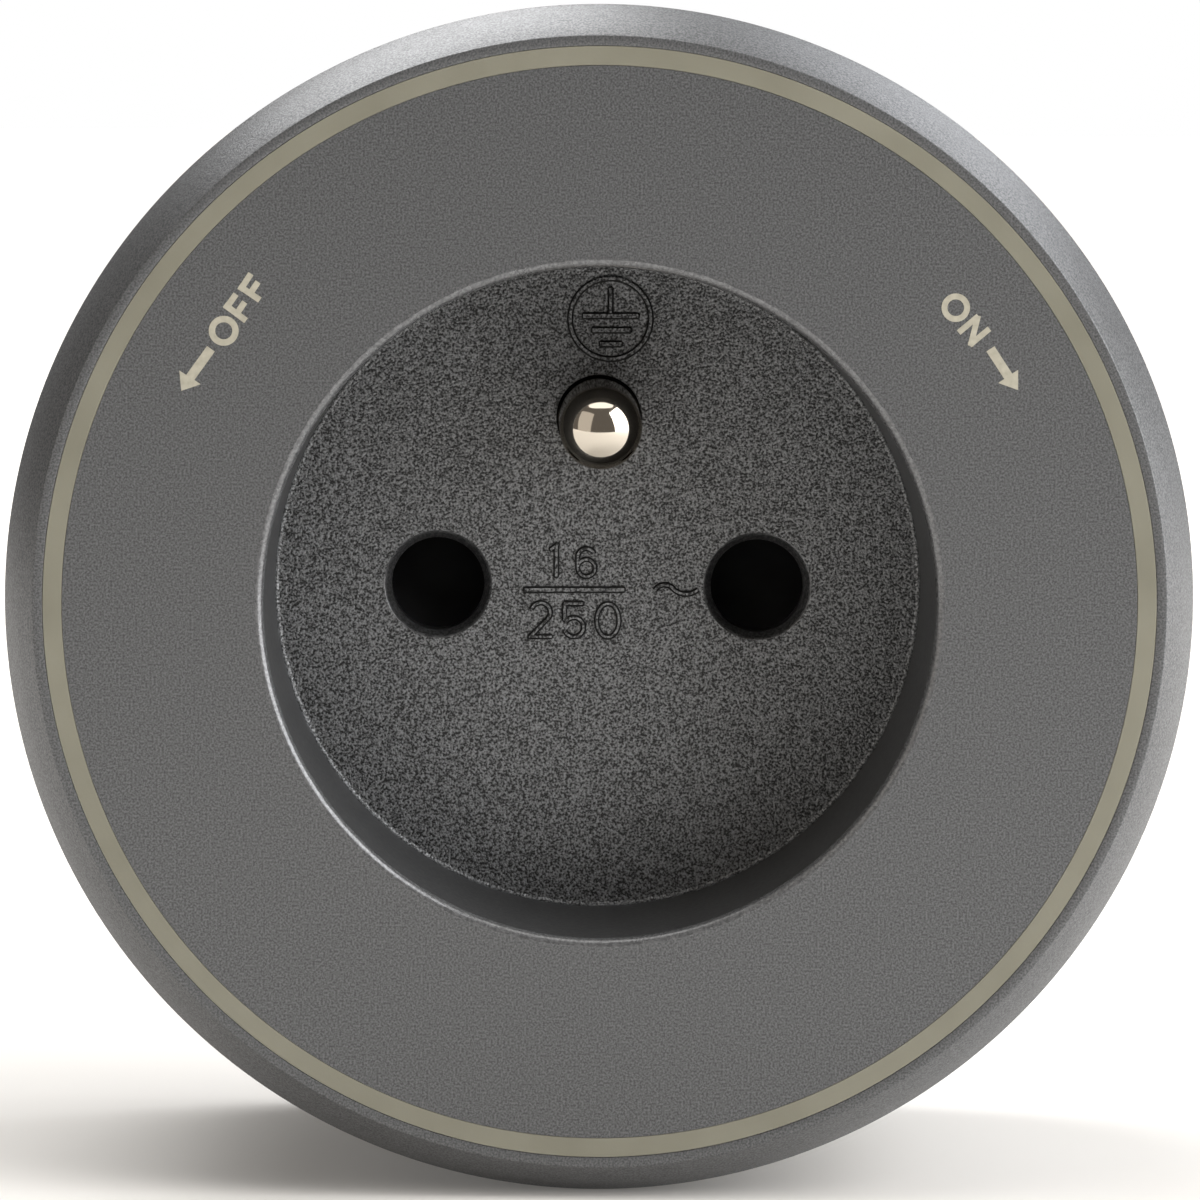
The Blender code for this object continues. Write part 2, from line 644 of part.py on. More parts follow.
def make_contact(name, side):
    """Brass clip: two sprung leaves with flared mouths, a base and a tail to the foot."""
    look = (BRASS, 0.28, 1)
    gap, flare = CLIP_HALF_GAP, CLIP_MOUTH_FLARE
    left, right = side * PIN_X - CLIP_WIDTH / 2, side * PIN_X + CLIP_WIDTH / 2
    throat = CLIP_FRONT + 2 * flare
    leaf = [
        (CLIP_FRONT, gap + flare),
        (throat, gap),
        (throat + 2 * flare, gap),
        (TAIL_FRONT - flare, gap + flare / 2),
        (TAIL_REAR, gap + flare / 2),
    ]
    back = [(depth, z + CLIP_THICKNESS) for depth, z in reversed(leaf)]
    base_half = POCKET_HALF_HEIGHT + CARRIER_WALL
    contact = block(name, (left, right), (TAIL_FRONT, TAIL_REAR), (-base_half, base_half), look)
    join(contact, bent("leaf", leaf + back, left, right, look))
    mirrored = [(depth, -z) for depth, z in leaf + back]
    join(contact, bent("leaf", mirrored, left, right, look))
    blade_middle = side * (BLADE_OFFSET + BLADE_THICKNESS / 2)
    reach = -side * BLADE_WIDTH / 2
    tail = (min(reach, side * PIN_X), max(reach, side * PIN_X))
    join(contact, block("tail", tail, (TAIL_FRONT, TAIL_REAR),
                        (blade_middle - TAIL_WIDTH / 2, blade_middle + TAIL_WIDTH / 2), look))
    return contact


def make_track_foot():
    """Inner flange, neck and T key in one moulding, channelled for the blades."""
    look = (BLACK_PLASTIC, 0.45, 0)
    flange = stadium(FOOT_FLANGE_HALF_LENGTH, FOOT_FLANGE_RADIUS)
    key = stadium(KEY_HALF_LENGTH, NECK_RADIUS)
    foot = slab("track_foot", flange, FOOT_FLANGE_FRONT, FOOT_FLANGE_REAR, look)
    join(foot, slab("neck", circle(NECK_RADIUS, PIN_STEPS),
                    FOOT_FLANGE_FRONT + FOOT_FLANGE_THICKNESS / 2,
                    KEY_FRONT + KEY_THICKNESS / 2, look))
    join(foot, slab("key", key, KEY_FRONT, KEY_REAR, look))
    half_width = BLADE_WIDTH / 2 + FIT
    inner, outer = BLADE_OFFSET - FIT, BLADE_OFFSET + BLADE_THICKNESS + FIT
    for side in (-1, 1):
        low, high = sorted((side * inner, side * outer))
        cut(foot, block("slot", (-half_width, half_width), (0, CAP_FRONT), (low, high), look))
        low, high = sorted((side * inner, side * 2 * KEY_HALF_LENGTH))
        cut(foot, block("groove", (-half_width, half_width), (BLADE_FRONT - FIT, CAP_FRONT),
                        (low, high), look))
        place = (0, side * FOOT_SCREW_SPACING / 2)
        cut(foot, hole(FOOT_SHANK + FIT, 0, COVER_FRONT, place))
    earth_inner = EARTH_BLADE_OFFSET - FIT
    earth_outer = EARTH_BLADE_OFFSET + EARTH_BLADE_THICKNESS + FIT
    earth_half = EARTH_BLADE_WIDTH / 2 + FIT
    cut(foot, block("earth_slot", (earth_inner, earth_outer), (0, COVER_FRONT),
                    (-earth_half, earth_half), look))
    cut(foot, block("earth_groove", (earth_inner, 2 * NECK_RADIUS), (FOOT_FLANGE_REAR, KEY_FRONT),
                    (-earth_half, earth_half), look))
    cut(foot, hole(CAP_SHANK + FIT, CAP_SEAT - CAP_SCREW_LENGTH - HOLE_OVERRUN, CAP_REAR, (0, 0)))
    return foot


def make_foot_cap():
    """Plate that closes the blade channels, with a rib pressing on each blade."""
    look = (BLACK_PLASTIC, 0.45, 0)
    wide = stadium(KEY_HALF_LENGTH, NECK_RADIUS)
    cap = slab("foot_cap", wide, CAP_FRONT, CAP_REAR, look)
    chamfer_edge(cap, CAP_REAR, CAP_CHAMFER)
    for side in (-1, 1):
        inner = side * (BLADE_OFFSET + BLADE_THICKNESS)
        outer = side * (KEY_HALF_LENGTH - NECK_RADIUS)
        low, high = sorted((inner, outer))
        join(cap, block("rib", (-BLADE_WIDTH / 2, BLADE_WIDTH / 2),
                        (BLADE_REAR + FIT, CAP_REAR - CAP_CHAMFER), (low, high), look))
    cut(cap, hole(CAP_SHANK + FIT, 0, 2 * CAP_REAR, (0, 0)))
    cut(cap, hole(CAP_HEAD + FIT, CAP_SEAT - FIT, 2 * CAP_REAR, (0, 0)))
    return cap


def chamfer_edge(piece, depth, width):
    """Bevel the outer edges of a plate that lie at one depth."""
    mesh = bmesh.new()
    mesh.from_mesh(piece.data)
    level = y_at(depth)
    rim = [edge for edge in mesh.edges
           if all(abs(vert.co.y - level) < MERGE_DISTANCE for vert in edge.verts)]
    bmesh.ops.bevel(mesh, geom=rim, offset=width, segments=1, affect="EDGES")
    mesh.to_mesh(piece.data)
    mesh.free()


def make_blade(name, side):
    """L-shaped copper strip: through the neck, then out at one end of the key."""
    inner = side * BLADE_OFFSET
    outer = side * (BLADE_OFFSET + BLADE_THICKNESS)
    tip = side * (KEY_HALF_LENGTH + BLADE_REACH)
    outline = [
        (STRAP_END_FRONT, inner),
        (BLADE_REAR, inner),
        (BLADE_REAR, tip),
        (BLADE_FRONT, tip),
        (BLADE_FRONT, outer),
        (STRAP_END_FRONT, outer),
    ]
    return bent(name, outline, -BLADE_WIDTH / 2, BLADE_WIDTH / 2, (COPPER, 0.3, 1))


def make_earth_blade():
    """Copper strip in the neck's groove, bowed out to touch the lips of the track."""
    rest = EARTH_BLADE_OFFSET
    crest = rest + EARTH_BLADE_BOW
    start, end = BODY_DEPTH, KEY_FRONT - FIT
    points = [(rest, EARTH_BLADE_FRONT), (rest, start)]
    for bend in range(1, EARTH_BLADE_BENDS):
        share = bend / EARTH_BLADE_BENDS
        lift = math.sin(math.pi * share) * (crest - rest)
        points.append((rest + lift, start + (end - start) * share))
    points.append((rest, end))
    back = [(x + EARTH_BLADE_THICKNESS, depth) for x, depth in reversed(points)]
    half = EARTH_BLADE_WIDTH / 2
    corners = [(x, y_at(depth), -half) for x, depth in points + back]
    return extruded("earth_blade", corners, (0, 0, 2 * half), (COPPER, 0.3, 1))


def make_rear_cover():
    """Lid with a locating rim, screw bosses and the hole that the neck passes."""
    look = (BLACK_PLASTIC, 0.5, 0)
    edge = arc((REAR_RADIUS - COVER_EDGE_RADIUS, BODY_DEPTH - COVER_EDGE_RADIUS),
               COVER_EDGE_RADIUS, 0, 90, EDGE_STEPS)
    rim_front = COVER_FRONT - COVER_RIM_DEPTH
    rim_radius = BORE_RADIUS - FIT
    cover = turned("rear_cover", [
        (NECK_RADIUS + FIT, COVER_FRONT),
        (rim_radius - COVER_RIM_WIDTH, COVER_FRONT),
        (rim_radius - COVER_RIM_WIDTH, rim_front),
        (rim_radius, rim_front),
        (rim_radius, COVER_LIP_FRONT),
        (REAR_RADIUS, COVER_LIP_FRONT),
        *edge,
        (NECK_RADIUS + FIT, BODY_DEPTH),
    ], look)
    for place in case_screw_places():
        join(cover, hole(COVER_BOSS_RADIUS, COVER_BOSS_FRONT, BODY_DEPTH - COVER_LIP / 2, place))
        cut(cover, hole(CASE_SHANK + FIT, 0, 2 * BODY_DEPTH, place))
        cut(cover, hole(CASE_HEAD + FIT, CASE_SEAT - FIT, 2 * BODY_DEPTH, place))
    for side in (-1, 1):
        place = (0, side * FOOT_SCREW_SPACING / 2)
        cut(cover, hole(FOOT_SHANK + FIT, 0, 2 * BODY_DEPTH, place))
        cut(cover, hole(FOOT_HEAD + FIT, FOOT_SEAT - FIT, 2 * BODY_DEPTH, place))
    return cover


def make_screw(name, place, seat, sizes, length):
    """Pan-head screw with its head behind the seat and its point towards the front."""
    shank, head, height = sizes
    outline = [
        (0, seat - length),
        (shank * SCREW_TIP_SHARE, seat - length),
        (shank, seat - length + shank),
        (shank, seat),
        (head, seat),
        (head, seat + height * HEAD_SIDE_SHARE),
        (head * HEAD_CROWN_SHARE, seat + height),
        (0, seat + height),
    ]
    return turned(name, outline, (STEEL, 0.3, 1), SCREW_STEPS, place)


def make_screws():
    """All the screws, each on its own seat."""
    case_sizes = (CASE_SHANK, CASE_HEAD, CASE_HEAD_HEIGHT)
    foot_sizes = (FOOT_SHANK, FOOT_HEAD, FOOT_HEAD_HEIGHT)
    carrier_sizes = (CARRIER_SHANK, CARRIER_HEAD, CARRIER_HEAD_HEIGHT)
    cap_sizes = (CAP_SHANK, CAP_HEAD, CAP_HEAD_HEIGHT)
    foot_length = FOOT_SEAT - FOOT_FLANGE_FRONT
    for index, place in enumerate(case_screw_places(), start=1):
        make_screw(f"case_screw_{index}", place, CASE_SEAT, case_sizes, CASE_SCREW_LENGTH)
    for index, side in enumerate((1, -1), start=1):
        foot_place = (0, side * FOOT_SCREW_SPACING / 2)
        ear = (side * EAR_X, EAR_HEIGHT)
        make_screw(f"foot_screw_{index}", foot_place, FOOT_SEAT, foot_sizes, foot_length)
        make_screw(f"carrier_screw_{index}", ear, CARRIER_SEAT, carrier_sizes,
                   CARRIER_SCREW_LENGTH)
    make_screw("cap_screw", (0, 0), CAP_SEAT, cap_sizes, CAP_SCREW_LENGTH)


def build():
    for leftover in list(bpy.data.objects):
        bpy.data.objects.remove(leftover)
    make_front_housing()
    make_light_ring()
    make_face_cup()
    make_light_board()
    make_earth_pin()
    make_earth_strap()
    make_shutter()
    make_shutter_spring()
    make_contact_carrier()
    make_contact("live_contact", 1)
    make_contact("neutral_contact", -1)
    make_track_foot()
    make_blade("live_blade", 1)
    make_blade("neutral_blade", -1)
    make_earth_blade()
    make_foot_cap()
    make_rear_cover()
    make_screws()


build()
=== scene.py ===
import math

import bpy
from mathutils import Matrix, Vector


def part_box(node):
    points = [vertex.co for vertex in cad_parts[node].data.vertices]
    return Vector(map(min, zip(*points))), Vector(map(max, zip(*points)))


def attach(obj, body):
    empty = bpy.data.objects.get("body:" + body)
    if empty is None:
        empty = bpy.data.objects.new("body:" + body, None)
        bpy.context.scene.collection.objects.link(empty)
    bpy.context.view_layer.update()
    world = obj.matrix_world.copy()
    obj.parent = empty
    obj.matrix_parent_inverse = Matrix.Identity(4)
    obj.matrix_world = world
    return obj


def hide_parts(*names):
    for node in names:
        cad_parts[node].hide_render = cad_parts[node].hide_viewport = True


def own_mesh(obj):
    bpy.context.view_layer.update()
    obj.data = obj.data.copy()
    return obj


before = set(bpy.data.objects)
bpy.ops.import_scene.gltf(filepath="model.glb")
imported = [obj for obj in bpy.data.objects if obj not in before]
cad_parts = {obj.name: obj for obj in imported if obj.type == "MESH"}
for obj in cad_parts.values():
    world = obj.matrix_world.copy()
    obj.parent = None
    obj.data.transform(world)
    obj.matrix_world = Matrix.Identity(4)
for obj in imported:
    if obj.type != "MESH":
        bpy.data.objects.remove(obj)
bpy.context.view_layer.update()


# Studio: the socket stands on its rim on a wide pale table, seen almost head-on.
# A large soft box stands to the right and a weak reflector to the left, one lamp hangs above the
# front, and three stand behind the socket.
front_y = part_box("front_housing")[0].y
rim_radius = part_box("front_housing")[1].x
table_top = -rim_radius - 0.0001
table_front = front_y - 0.25
table_size = 4
table_white = (0.75, 0.73, 0.70, 1)
glow_white = (1, 0.97, 0.93, 1)
near_reach, far_reach = 0.07, 0.60
near_glow, far_glow = 0.10, 1.0
plain_white = (1, 1, 1, 1)
room_shades = [
    (0.45, (0.17, 0.155, 0.14, 1)),
    (0.87, (0.05, 0.049, 0.048, 1)),
    (0.97, plain_white),
]


def new_material(name, sockets):
    """A material whose shader has these values set on its own sockets."""
    material = bpy.data.materials.new(name)
    material.use_nodes = True
    shader = material.node_tree.nodes["Principled BSDF"]
    for socket, value in sockets.items():
        shader.inputs[socket].default_value = value
    return material


def link_shader(material, socket, value):
    """Let a node's value set one of the shader's sockets."""
    tree = material.node_tree
    tree.links.new(value, tree.nodes["Principled BSDF"].inputs[socket])


def add_node(tree, kind, inputs=None, operation=None):
    """A node whose sockets get these values, or links from other nodes."""
    node = tree.nodes.new("ShaderNode" + kind)
    if operation:
        node.operation = operation
    for socket, value in (inputs or {}).items():
        if isinstance(value, bpy.types.NodeSocket):
            tree.links.new(value, node.inputs[socket])
        else:
            node.inputs[socket].default_value = value
    return node


def seen_rays(tree, *kinds):
    """A value of 1 on rays of these kinds, and 0 on rays that only carry light."""
    path = add_node(tree, "LightPath")
    seen = path.outputs[f"Is {kinds[0]} Ray"]
    for kind in kinds[1:]:
        ray = path.outputs[f"Is {kind} Ray"]
        seen = add_node(tree, "Math", {0: seen, 1: ray}, "MAXIMUM").outputs[0]
    return seen


def colour_ramp(tree, value, stops):
    """A colour that follows a value, from rising stops of (value, colour)."""
    ramp = add_node(tree, "ValToRGB", {0: value})
    elements = ramp.color_ramp.elements
    for index, (position, colour) in enumerate(stops):
        stop = elements[index] if index < 2 else elements.new(position)
        stop.position = position
        stop.color = colour
    return ramp.outputs[0]


def at_origin():
    """Put the new piece's place, turn and size into its mesh."""
    bpy.ops.object.transform_apply(location=True, rotation=True, scale=True)
    return bpy.context.object


# The table's own white, for the eye and for mirrors, grows with the distance from the socket.
table_finish = new_material("table_white", {
    "Base Color": table_white,
    "Roughness": 0.9,
    "Emission Color": glow_white,
})
sheet = table_finish.node_tree
sheet_place = add_node(sheet, "TexCoord").outputs["Object"]
glow = add_node(sheet, "MapRange", {
    "Value": add_node(sheet, "VectorMath", {0: sheet_place}, "LENGTH").outputs["Value"],
    "From Min": near_reach,
    "From Max": far_reach,
    "To Min": near_glow,
    "To Max": far_glow,
})
glow_seen = add_node(sheet, "Math", {
    0: glow.outputs[0],
    1: seen_rays(sheet, "Camera", "Glossy", "Transmission"),
}, "MULTIPLY")
link_shader(table_finish, "Emission Strength", glow_seen.outputs[0])

bpy.ops.object.select_all(action="DESELECT")
bpy.ops.mesh.primitive_plane_add(size=table_size,
                                 location=(0, table_front + table_size / 2, table_top))
table = at_origin()
table.name = "studio_table"
table.data.materials.append(table_finish)

# The room is dim in front and white behind the socket, and looks white to the eye.
world = bpy.data.worlds.new("studio_room")
bpy.context.scene.world = world
world.use_nodes = True
room = world.node_tree
direction = add_node(room, "TexCoord").outputs["Generated"]
rearward = add_node(room, "SeparateXYZ", {0: direction}).outputs["Y"]
rear_share = add_node(room, "MapRange", {"Value": rearward, "From Min": -1}).outputs[0]
room_seen = add_node(room, "MixRGB", {
    "Fac": seen_rays(room, "Camera", "Transmission"),
    "Color1": colour_ramp(room, rear_share, room_shades),
    "Color2": plain_white,
})
room.links.new(room_seen.outputs[0], room.nodes["Background"].inputs["Color"])


def soft_box(name, azimuth, elevation, distance, size, radiance, tint=(1, 1, 1),
             shape="RECTANGLE"):
    """A flat lamp turned to the socket, azimuth counted from the front to the right."""
    around, up = math.radians(azimuth), math.radians(elevation)
    way = Vector((math.sin(around) * math.cos(up), -math.cos(around) * math.cos(up),
                  math.sin(up)))
    bpy.ops.object.light_add(type="AREA", location=Vector((0, front_y, 0)) + way * distance)
    lamp = bpy.context.object
    lamp.name = name
    lamp.rotation_euler = way.to_track_quat("Z", "Y").to_euler()
    lamp.data.shape = shape
    lamp.data.size, lamp.data.size_y = size
    area = size[0] * size[1] * (math.pi / 4 if shape == "ELLIPSE" else 1)
    lamp.data.energy = radiance * math.pi * area
    lamp.data.color = tint


soft_box("right_soft_box", 71, 20.5, 0.62, (0.78, 0.77), 4.6)
soft_box("left_reflector", -48, 16, 0.60, (0.44, 0.64), 0.60, (1, 0.93, 0.84))
soft_box("front_top_box", 0, 75, 0.70, (0.74, 0.37), 1.7, (1, 0.98, 0.94), "ELLIPSE")
soft_box("top_back_box", -152, 56, 0.50, (0.34, 0.26), 6.8)
soft_box("upper_right_back_box", 136, 42, 0.55, (0.30, 0.28), 3.4, (0.94, 0.96, 1))
soft_box("right_back_box", 121, -4, 0.55, (0.20, 0.34), 1.4)

camera_distance = 0.45
camera_azimuth = math.radians(-0.55)
camera_elevation = math.radians(4.36)
camera_roll = math.radians(0.45)
film_width = 36
frame_width = 0.06912
aim = Vector((0, front_y, 0.00026))
back = Vector((math.sin(camera_azimuth) * math.cos(camera_elevation),
               -math.cos(camera_azimuth) * math.cos(camera_elevation),
               math.sin(camera_elevation)))
bpy.ops.object.camera_add(location=aim + back * camera_distance)
camera = bpy.context.object
camera.rotation_mode = "QUATERNION"
level = (-back).to_track_quat("-Z", "Y")
camera.rotation_quaternion = level @ Matrix.Rotation(camera_roll, 4, "Z").to_quaternion()
camera.data.sensor_width = film_width
camera.data.lens = film_width * camera_distance / frame_width
camera.data.clip_start = 0.01
bpy.context.scene.camera = camera
bpy.context.scene.view_settings.view_transform = "Standard"


# Front housing: the moulded and painted shell that the hand turns, with a bevelled rim.
# A shelf inside it carries the flange of the light ring.
ring_segments = 256
edge_steps = 4
sharp_angle = math.radians(30)
merge_distance = 0.000001
seam = 0.00002
bevel_start = 0.0327
bevel_depth = 0.0032
bevel_crown = 0.00012
crown_out, crown_forward = 0.87, 0.49
rim_round = 0.0004
side_draft = 0.0004
case_wall = 0.0013
shelf_front = 0.0033
shelf_rear = 0.0049
housing_edge = 0.00004
ring_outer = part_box("light_ring")[1].x
ring_flange_inner = 0.0273
shelf_inner = ring_flange_inner + 0.0031
housing_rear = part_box("front_housing")[1].y - front_y
rear_radius = rim_radius - side_draft
bore_radius = rear_radius - case_wall


def noise_height(material, size, detail, stretch=(1, 1, 1)):
    """A noise whose spots have a real size in metres."""
    tree = material.node_tree
    place = add_node(tree, "TexCoord").outputs["Object"]
    stretched = add_node(tree, "Mapping", {"Vector": place, "Scale": stretch}).outputs[0]
    noise = add_node(tree, "TexNoise", {
        "Vector": stretched,
        "Scale": 1 / size,
        "Detail": detail,
    })
    return noise.outputs["Fac"]


def add_grain(material, size, depth, detail=2, stretch=(1, 1, 1)):
    """Raise a grain of a real size and depth."""
    bump = add_node(material.node_tree, "Bump", {
        "Distance": depth,
        "Height": noise_height(material, size, detail, stretch),
    })
    link_shader(material, "Normal", bump.outputs[0])


def add_mottle(material, size, dark, light, low=0.35, high=0.65, detail=2):
    """Vary the colour between two tones, in spots of a real size."""
    spots = noise_height(material, size, detail)
    stops = [(low, (*dark, 1)), (high, (*light, 1))]
    link_shader(material, "Base Color", colour_ramp(material.node_tree, spots, stops))


def add_gloss_change(material, size, glossy, dull):
    """Vary the roughness between two values, in spots of a real size."""
    change = add_node(material.node_tree, "MapRange", {
        "Value": noise_height(material, size, 3),
        "To Min": glossy,
        "To Max": dull,
    })
    link_shader(material, "Roughness", change.outputs[0])


def arc(centre, radius, start, end, steps):
    """Points on an arc, with angles in degrees."""
    points = []
    for step in range(steps + 1):
        turn = math.radians(start + (end - start) * step / steps)
        points.append((centre[0] + radius * math.cos(turn), centre[1] + radius * math.sin(turn)))
    return points


def make_active(piece):
    """Select one piece only."""
    bpy.ops.object.select_all(action="DESELECT")
    piece.select_set(True)
    bpy.context.view_layer.objects.active = piece


def face_outwards():
    """Merge what meets, turn all faces outwards, and leave edit mode."""
    bpy.ops.mesh.select_all(action="SELECT")
    bpy.ops.mesh.remove_doubles(threshold=merge_distance)
    bpy.ops.mesh.normals_make_consistent(inside=False)
    bpy.ops.object.mode_set(mode="OBJECT")


def draw_rings(name, outline, closed=True, centre=(0, 0), segments=ring_segments):
    """Draw a circle out along a half section of (radius, depth) points."""
    bpy.ops.object.select_all(action="DESELECT")
    radius, depth = outline[0]
    place = (centre[0], front_y + depth, centre[1])
    bpy.ops.mesh.primitive_circle_add(vertices=segments, radius=radius, location=place,
                                      rotation=(math.pi / 2, 0, 0))
    piece = at_origin()
    piece.name = name
    bpy.ops.object.mode_set(mode="EDIT")
    bpy.ops.mesh.select_all(action="SELECT")
    stops = outline[1:] + outline[:1] if closed else outline[1:]
    for wide, deep in stops:
        bpy.ops.mesh.extrude_region()
        scale = wide / radius
        bpy.ops.transform.resize(value=(scale, 1, scale), center_override=place)
        bpy.ops.transform.translate(value=(0, deep - depth, 0))
        radius, depth = wide, deep
        place = (centre[0], front_y + depth, centre[1])
    bpy.ops.mesh.select_all(action="SELECT")
    if not closed:
        bpy.ops.mesh.fill_holes(sides=0)
    face_outwards()
    return piece


def shade(piece):
    """Shade curved faces as smooth and keep broad flat faces flat."""
    make_active(piece)
    bpy.ops.object.shade_smooth_by_angle(angle=sharp_angle)
    flattening = piece.modifiers.new("flattening", "WEIGHTED_NORMAL")
    flattening.weight = 100
    flattening.keep_sharp = True
    bpy.ops.object.modifier_apply(modifier=flattening.name)


def soften(piece, width, segments=2):
    """Round the sharp edges of a piece."""
    make_active(piece)
    rounding = piece.modifiers.new("rounding", "BEVEL")
    rounding.width = width
    rounding.segments = segments
    rounding.limit_method = "ANGLE"
    rounding.angle_limit = sharp_angle
    bpy.ops.object.modifier_apply(modifier=rounding.name)
    shade(piece)


def fit(piece, node, material):
    """Put a finished piece in the place of its rough solid."""
    piece.data.materials.clear()
    piece.data.materials.append(material)
    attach(piece, "socket")
    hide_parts(node)


face_paint = new_material("anthracite_paint", {"Metallic": 0.4, "IOR": 1.5})
add_mottle(face_paint, 0.00012, (0.074, 0.076, 0.079), (0.177, 0.180, 0.185), 0.31, 0.69, 1)
add_gloss_change(face_paint, 0.0005, 0.33, 0.45)
add_grain(face_paint, 0.00012, 0.000012, 1)

bevel_middle = ((bevel_start + rim_radius) / 2 + bevel_crown * crown_out,
                bevel_depth / 2 - bevel_crown * crown_forward)
rim_centre = (rim_radius - rim_round, bevel_depth + rim_round)
rear_centre = (rear_radius - rim_round, housing_rear - rim_round)
front_housing = draw_rings("painted_housing", [
    (ring_outer + seam, 0),
    (bevel_start, 0),
    bevel_middle,
    *arc(rim_centre, rim_round, -30, 0, edge_steps),
    *arc(rear_centre, rim_round, 0, 90, edge_steps),
    (bore_radius, housing_rear),
    (bore_radius, shelf_rear),
    (shelf_inner, shelf_rear),
    (shelf_inner, shelf_front),
    (ring_outer + seam, shelf_front),
])
soften(front_housing, housing_edge)
fit(front_housing, "front_housing", face_paint)


# Light ring: one milky moulding, flush between the face and the rim, that glows when lit.
# Its hidden flange rests on the shelf and takes in the light of the board.
ring_inner = ring_outer - 0.0011
ring_leg = 0.0014
ring_rear = 0.0030
ring_edge = 0.00003
milky = new_material("milky_diffuser", {
    "Roughness": 0.36,
    "IOR": 1.49,
    "Subsurface Weight": 0.2,
    "Subsurface Radius": (0.0008, 0.0007, 0.0005),
    "Subsurface Scale": 1.0,
})
add_mottle(milky, 0.006, (0.225, 0.216, 0.168), (0.268, 0.258, 0.204), 0.3, 0.7)
add_grain(milky, 0.00022, 0.000005)
light_ring = draw_rings("milky_ring", [
    (ring_inner, 0),
    (ring_outer, 0),
    (ring_outer, ring_rear),
    (ring_flange_inner, ring_rear),
    (ring_flange_inner, ring_leg),
    (ring_inner, ring_leg),
])
soften(light_ring, ring_edge)
fit(light_ring, "light_ring", milky)


# Face cup: face disc, recess wall and recess floor in one painted moulding.
# The floor has a coarse eroded grain, two countersunk pin holes and raised signs.
face_rim = 0.0011
face_thickness = 0.0022
face_step = 0.0270
recess_radius = 0.0192
recess_depth = 0.0150
mouth_radius = 0.0194
mouth_lip = 0.00048
mouth_steps = 8
floor_fillet = 0.0003
floor_rear = 0.0175
cup_radius = 0.0212
boss_circle = 0.0237
boss_radius = 0.0030
boss_rear = 0.0370
boss_hole_front = 0.0302
pin_x = 0.0095
pin_hole = 0.00276
pin_mouth = 0.00322
pin_mouth_depth = 0.0006
mouth_edge = [(0.0003, -0.0003), (0.00002, -0.00002), (-0.00006, 0.00004), (-0.00014, 0.00014)]
earth_z = 0.010
earth_radius = 0.0024
earth_gap = 0.00014
earth_gap_depth = 0.0005
earth_gap_end = 0.0006
ear_x = 0.0172
ear_z = 0.001
ear_boss = 0.0022
ear_boss_root = floor_rear - 0.0012
ear_hole_front = 0.0185
ear_front = 0.0223
carrier_shank = 0.0010
case_shank = 0.00125
fit_gap = 0.0003
beyond = 0.08

# The walls of the recess and pin holes get a smoother paint, and its colour is darker than the
# face's as painted shade of the recesses.
shaded_wall_paint = new_material("recess_wall_painted_shade", {"Metallic": 0.4, "IOR": 1.5})
add_mottle(shaded_wall_paint, 0.00015, (0.040, 0.0405, 0.042), (0.125, 0.127, 0.130), 0.40, 0.75, 1)
add_gloss_change(shaded_wall_paint, 0.0003, 0.26, 0.40)
add_grain(shaded_wall_paint, 0.0005, 0.000008)

eroded_paint = new_material("eroded_floor_paint", {"Metallic": 0.45, "IOR": 1.5})
add_mottle(eroded_paint, 0.00013, (0.024, 0.0245, 0.025), (0.316, 0.325, 0.335), 0.36, 0.70, 1)
add_gloss_change(eroded_paint, 0.0003, 0.28, 0.45)
add_grain(eroded_paint, 0.00013, 0.00005, 1)

fillet_centre = (recess_radius - floor_fillet, recess_depth - floor_fillet)
lip_centre = (mouth_radius + mouth_lip, mouth_lip)
face_cup = draw_rings("painted_face_cup", [
    *arc(fillet_centre, floor_fillet, 90, 0, edge_steps),
    *arc(lip_centre, mouth_lip, 180, 270, mouth_steps),
    (ring_inner - seam, 0),
    (ring_inner - seam, face_rim),
    (face_step, face_rim),
    (face_step, face_thickness),
    (cup_radius, face_thickness),
    (cup_radius, floor_rear),
], closed=False)


def combine(body, tool, operation):
    """Work another solid into a body, and throw the tool out."""
    make_active(body)
    change = body.modifiers.new("change", "BOOLEAN")
    change.operation = operation
    change.solver = "EXACT"
    change.object = tool
    bpy.ops.object.modifier_apply(modifier=change.name)
    bpy.data.objects.remove(tool)


def join(body, tool):
    """Merge another solid into a body."""
    combine(body, tool, "UNION")


def cut(body, tool):
    """Cut another solid away from a body."""
    combine(body, tool, "DIFFERENCE")


def rod(radius, front, rear, centre, segments=48):
    """A round bar along the depth, turned a little so that its corners miss those of a body."""
    bar = draw_rings("rod", [(radius, front), (radius, rear)], False, (0, 0), segments)
    turn = Matrix.Rotation(0.8 / segments, 4, "Y")
    bar.data.transform(Matrix.Translation((centre[0], 0, centre[1])) @ turn)
    return bar


def bore(body, radius, centre, front=0, segments=48):
    """Drill a hole from this depth out through the back."""
    cut(body, rod(radius, front, beyond, centre, segments))


screw_places = []
for index in range(3):
    turn = math.radians(90 + 120 * index)
    screw_places.append((boss_circle * math.cos(turn), boss_circle * math.sin(turn)))
for place in screw_places:
    join(face_cup, rod(boss_radius, face_thickness / 2, boss_rear, place))
    bore(face_cup, case_shank, place, boss_hole_front, 32)
for side in (-1, 1):
    ear = (side * ear_x, ear_z)
    join(face_cup, rod(ear_boss, ear_boss_root, ear_front - seam, ear))
    bore(face_cup, carrier_shank, ear, ear_hole_front, 32)
    cut(face_cup, draw_rings("pin_hole", [
        *[(pin_mouth + out, recess_depth + down) for out, down in mouth_edge],
        (pin_hole, recess_depth + pin_mouth_depth),
        (pin_hole, beyond),
    ], False, (side * pin_x, 0), 96))
cut(face_cup, draw_rings("earth_hole", [
    (earth_radius + earth_gap, recess_depth - fit_gap),
    (earth_radius + earth_gap, recess_depth + earth_gap_depth),
    (earth_radius + seam, recess_depth + earth_gap_end),
    (earth_radius + seam, beyond),
], False, (0, earth_z), 96))

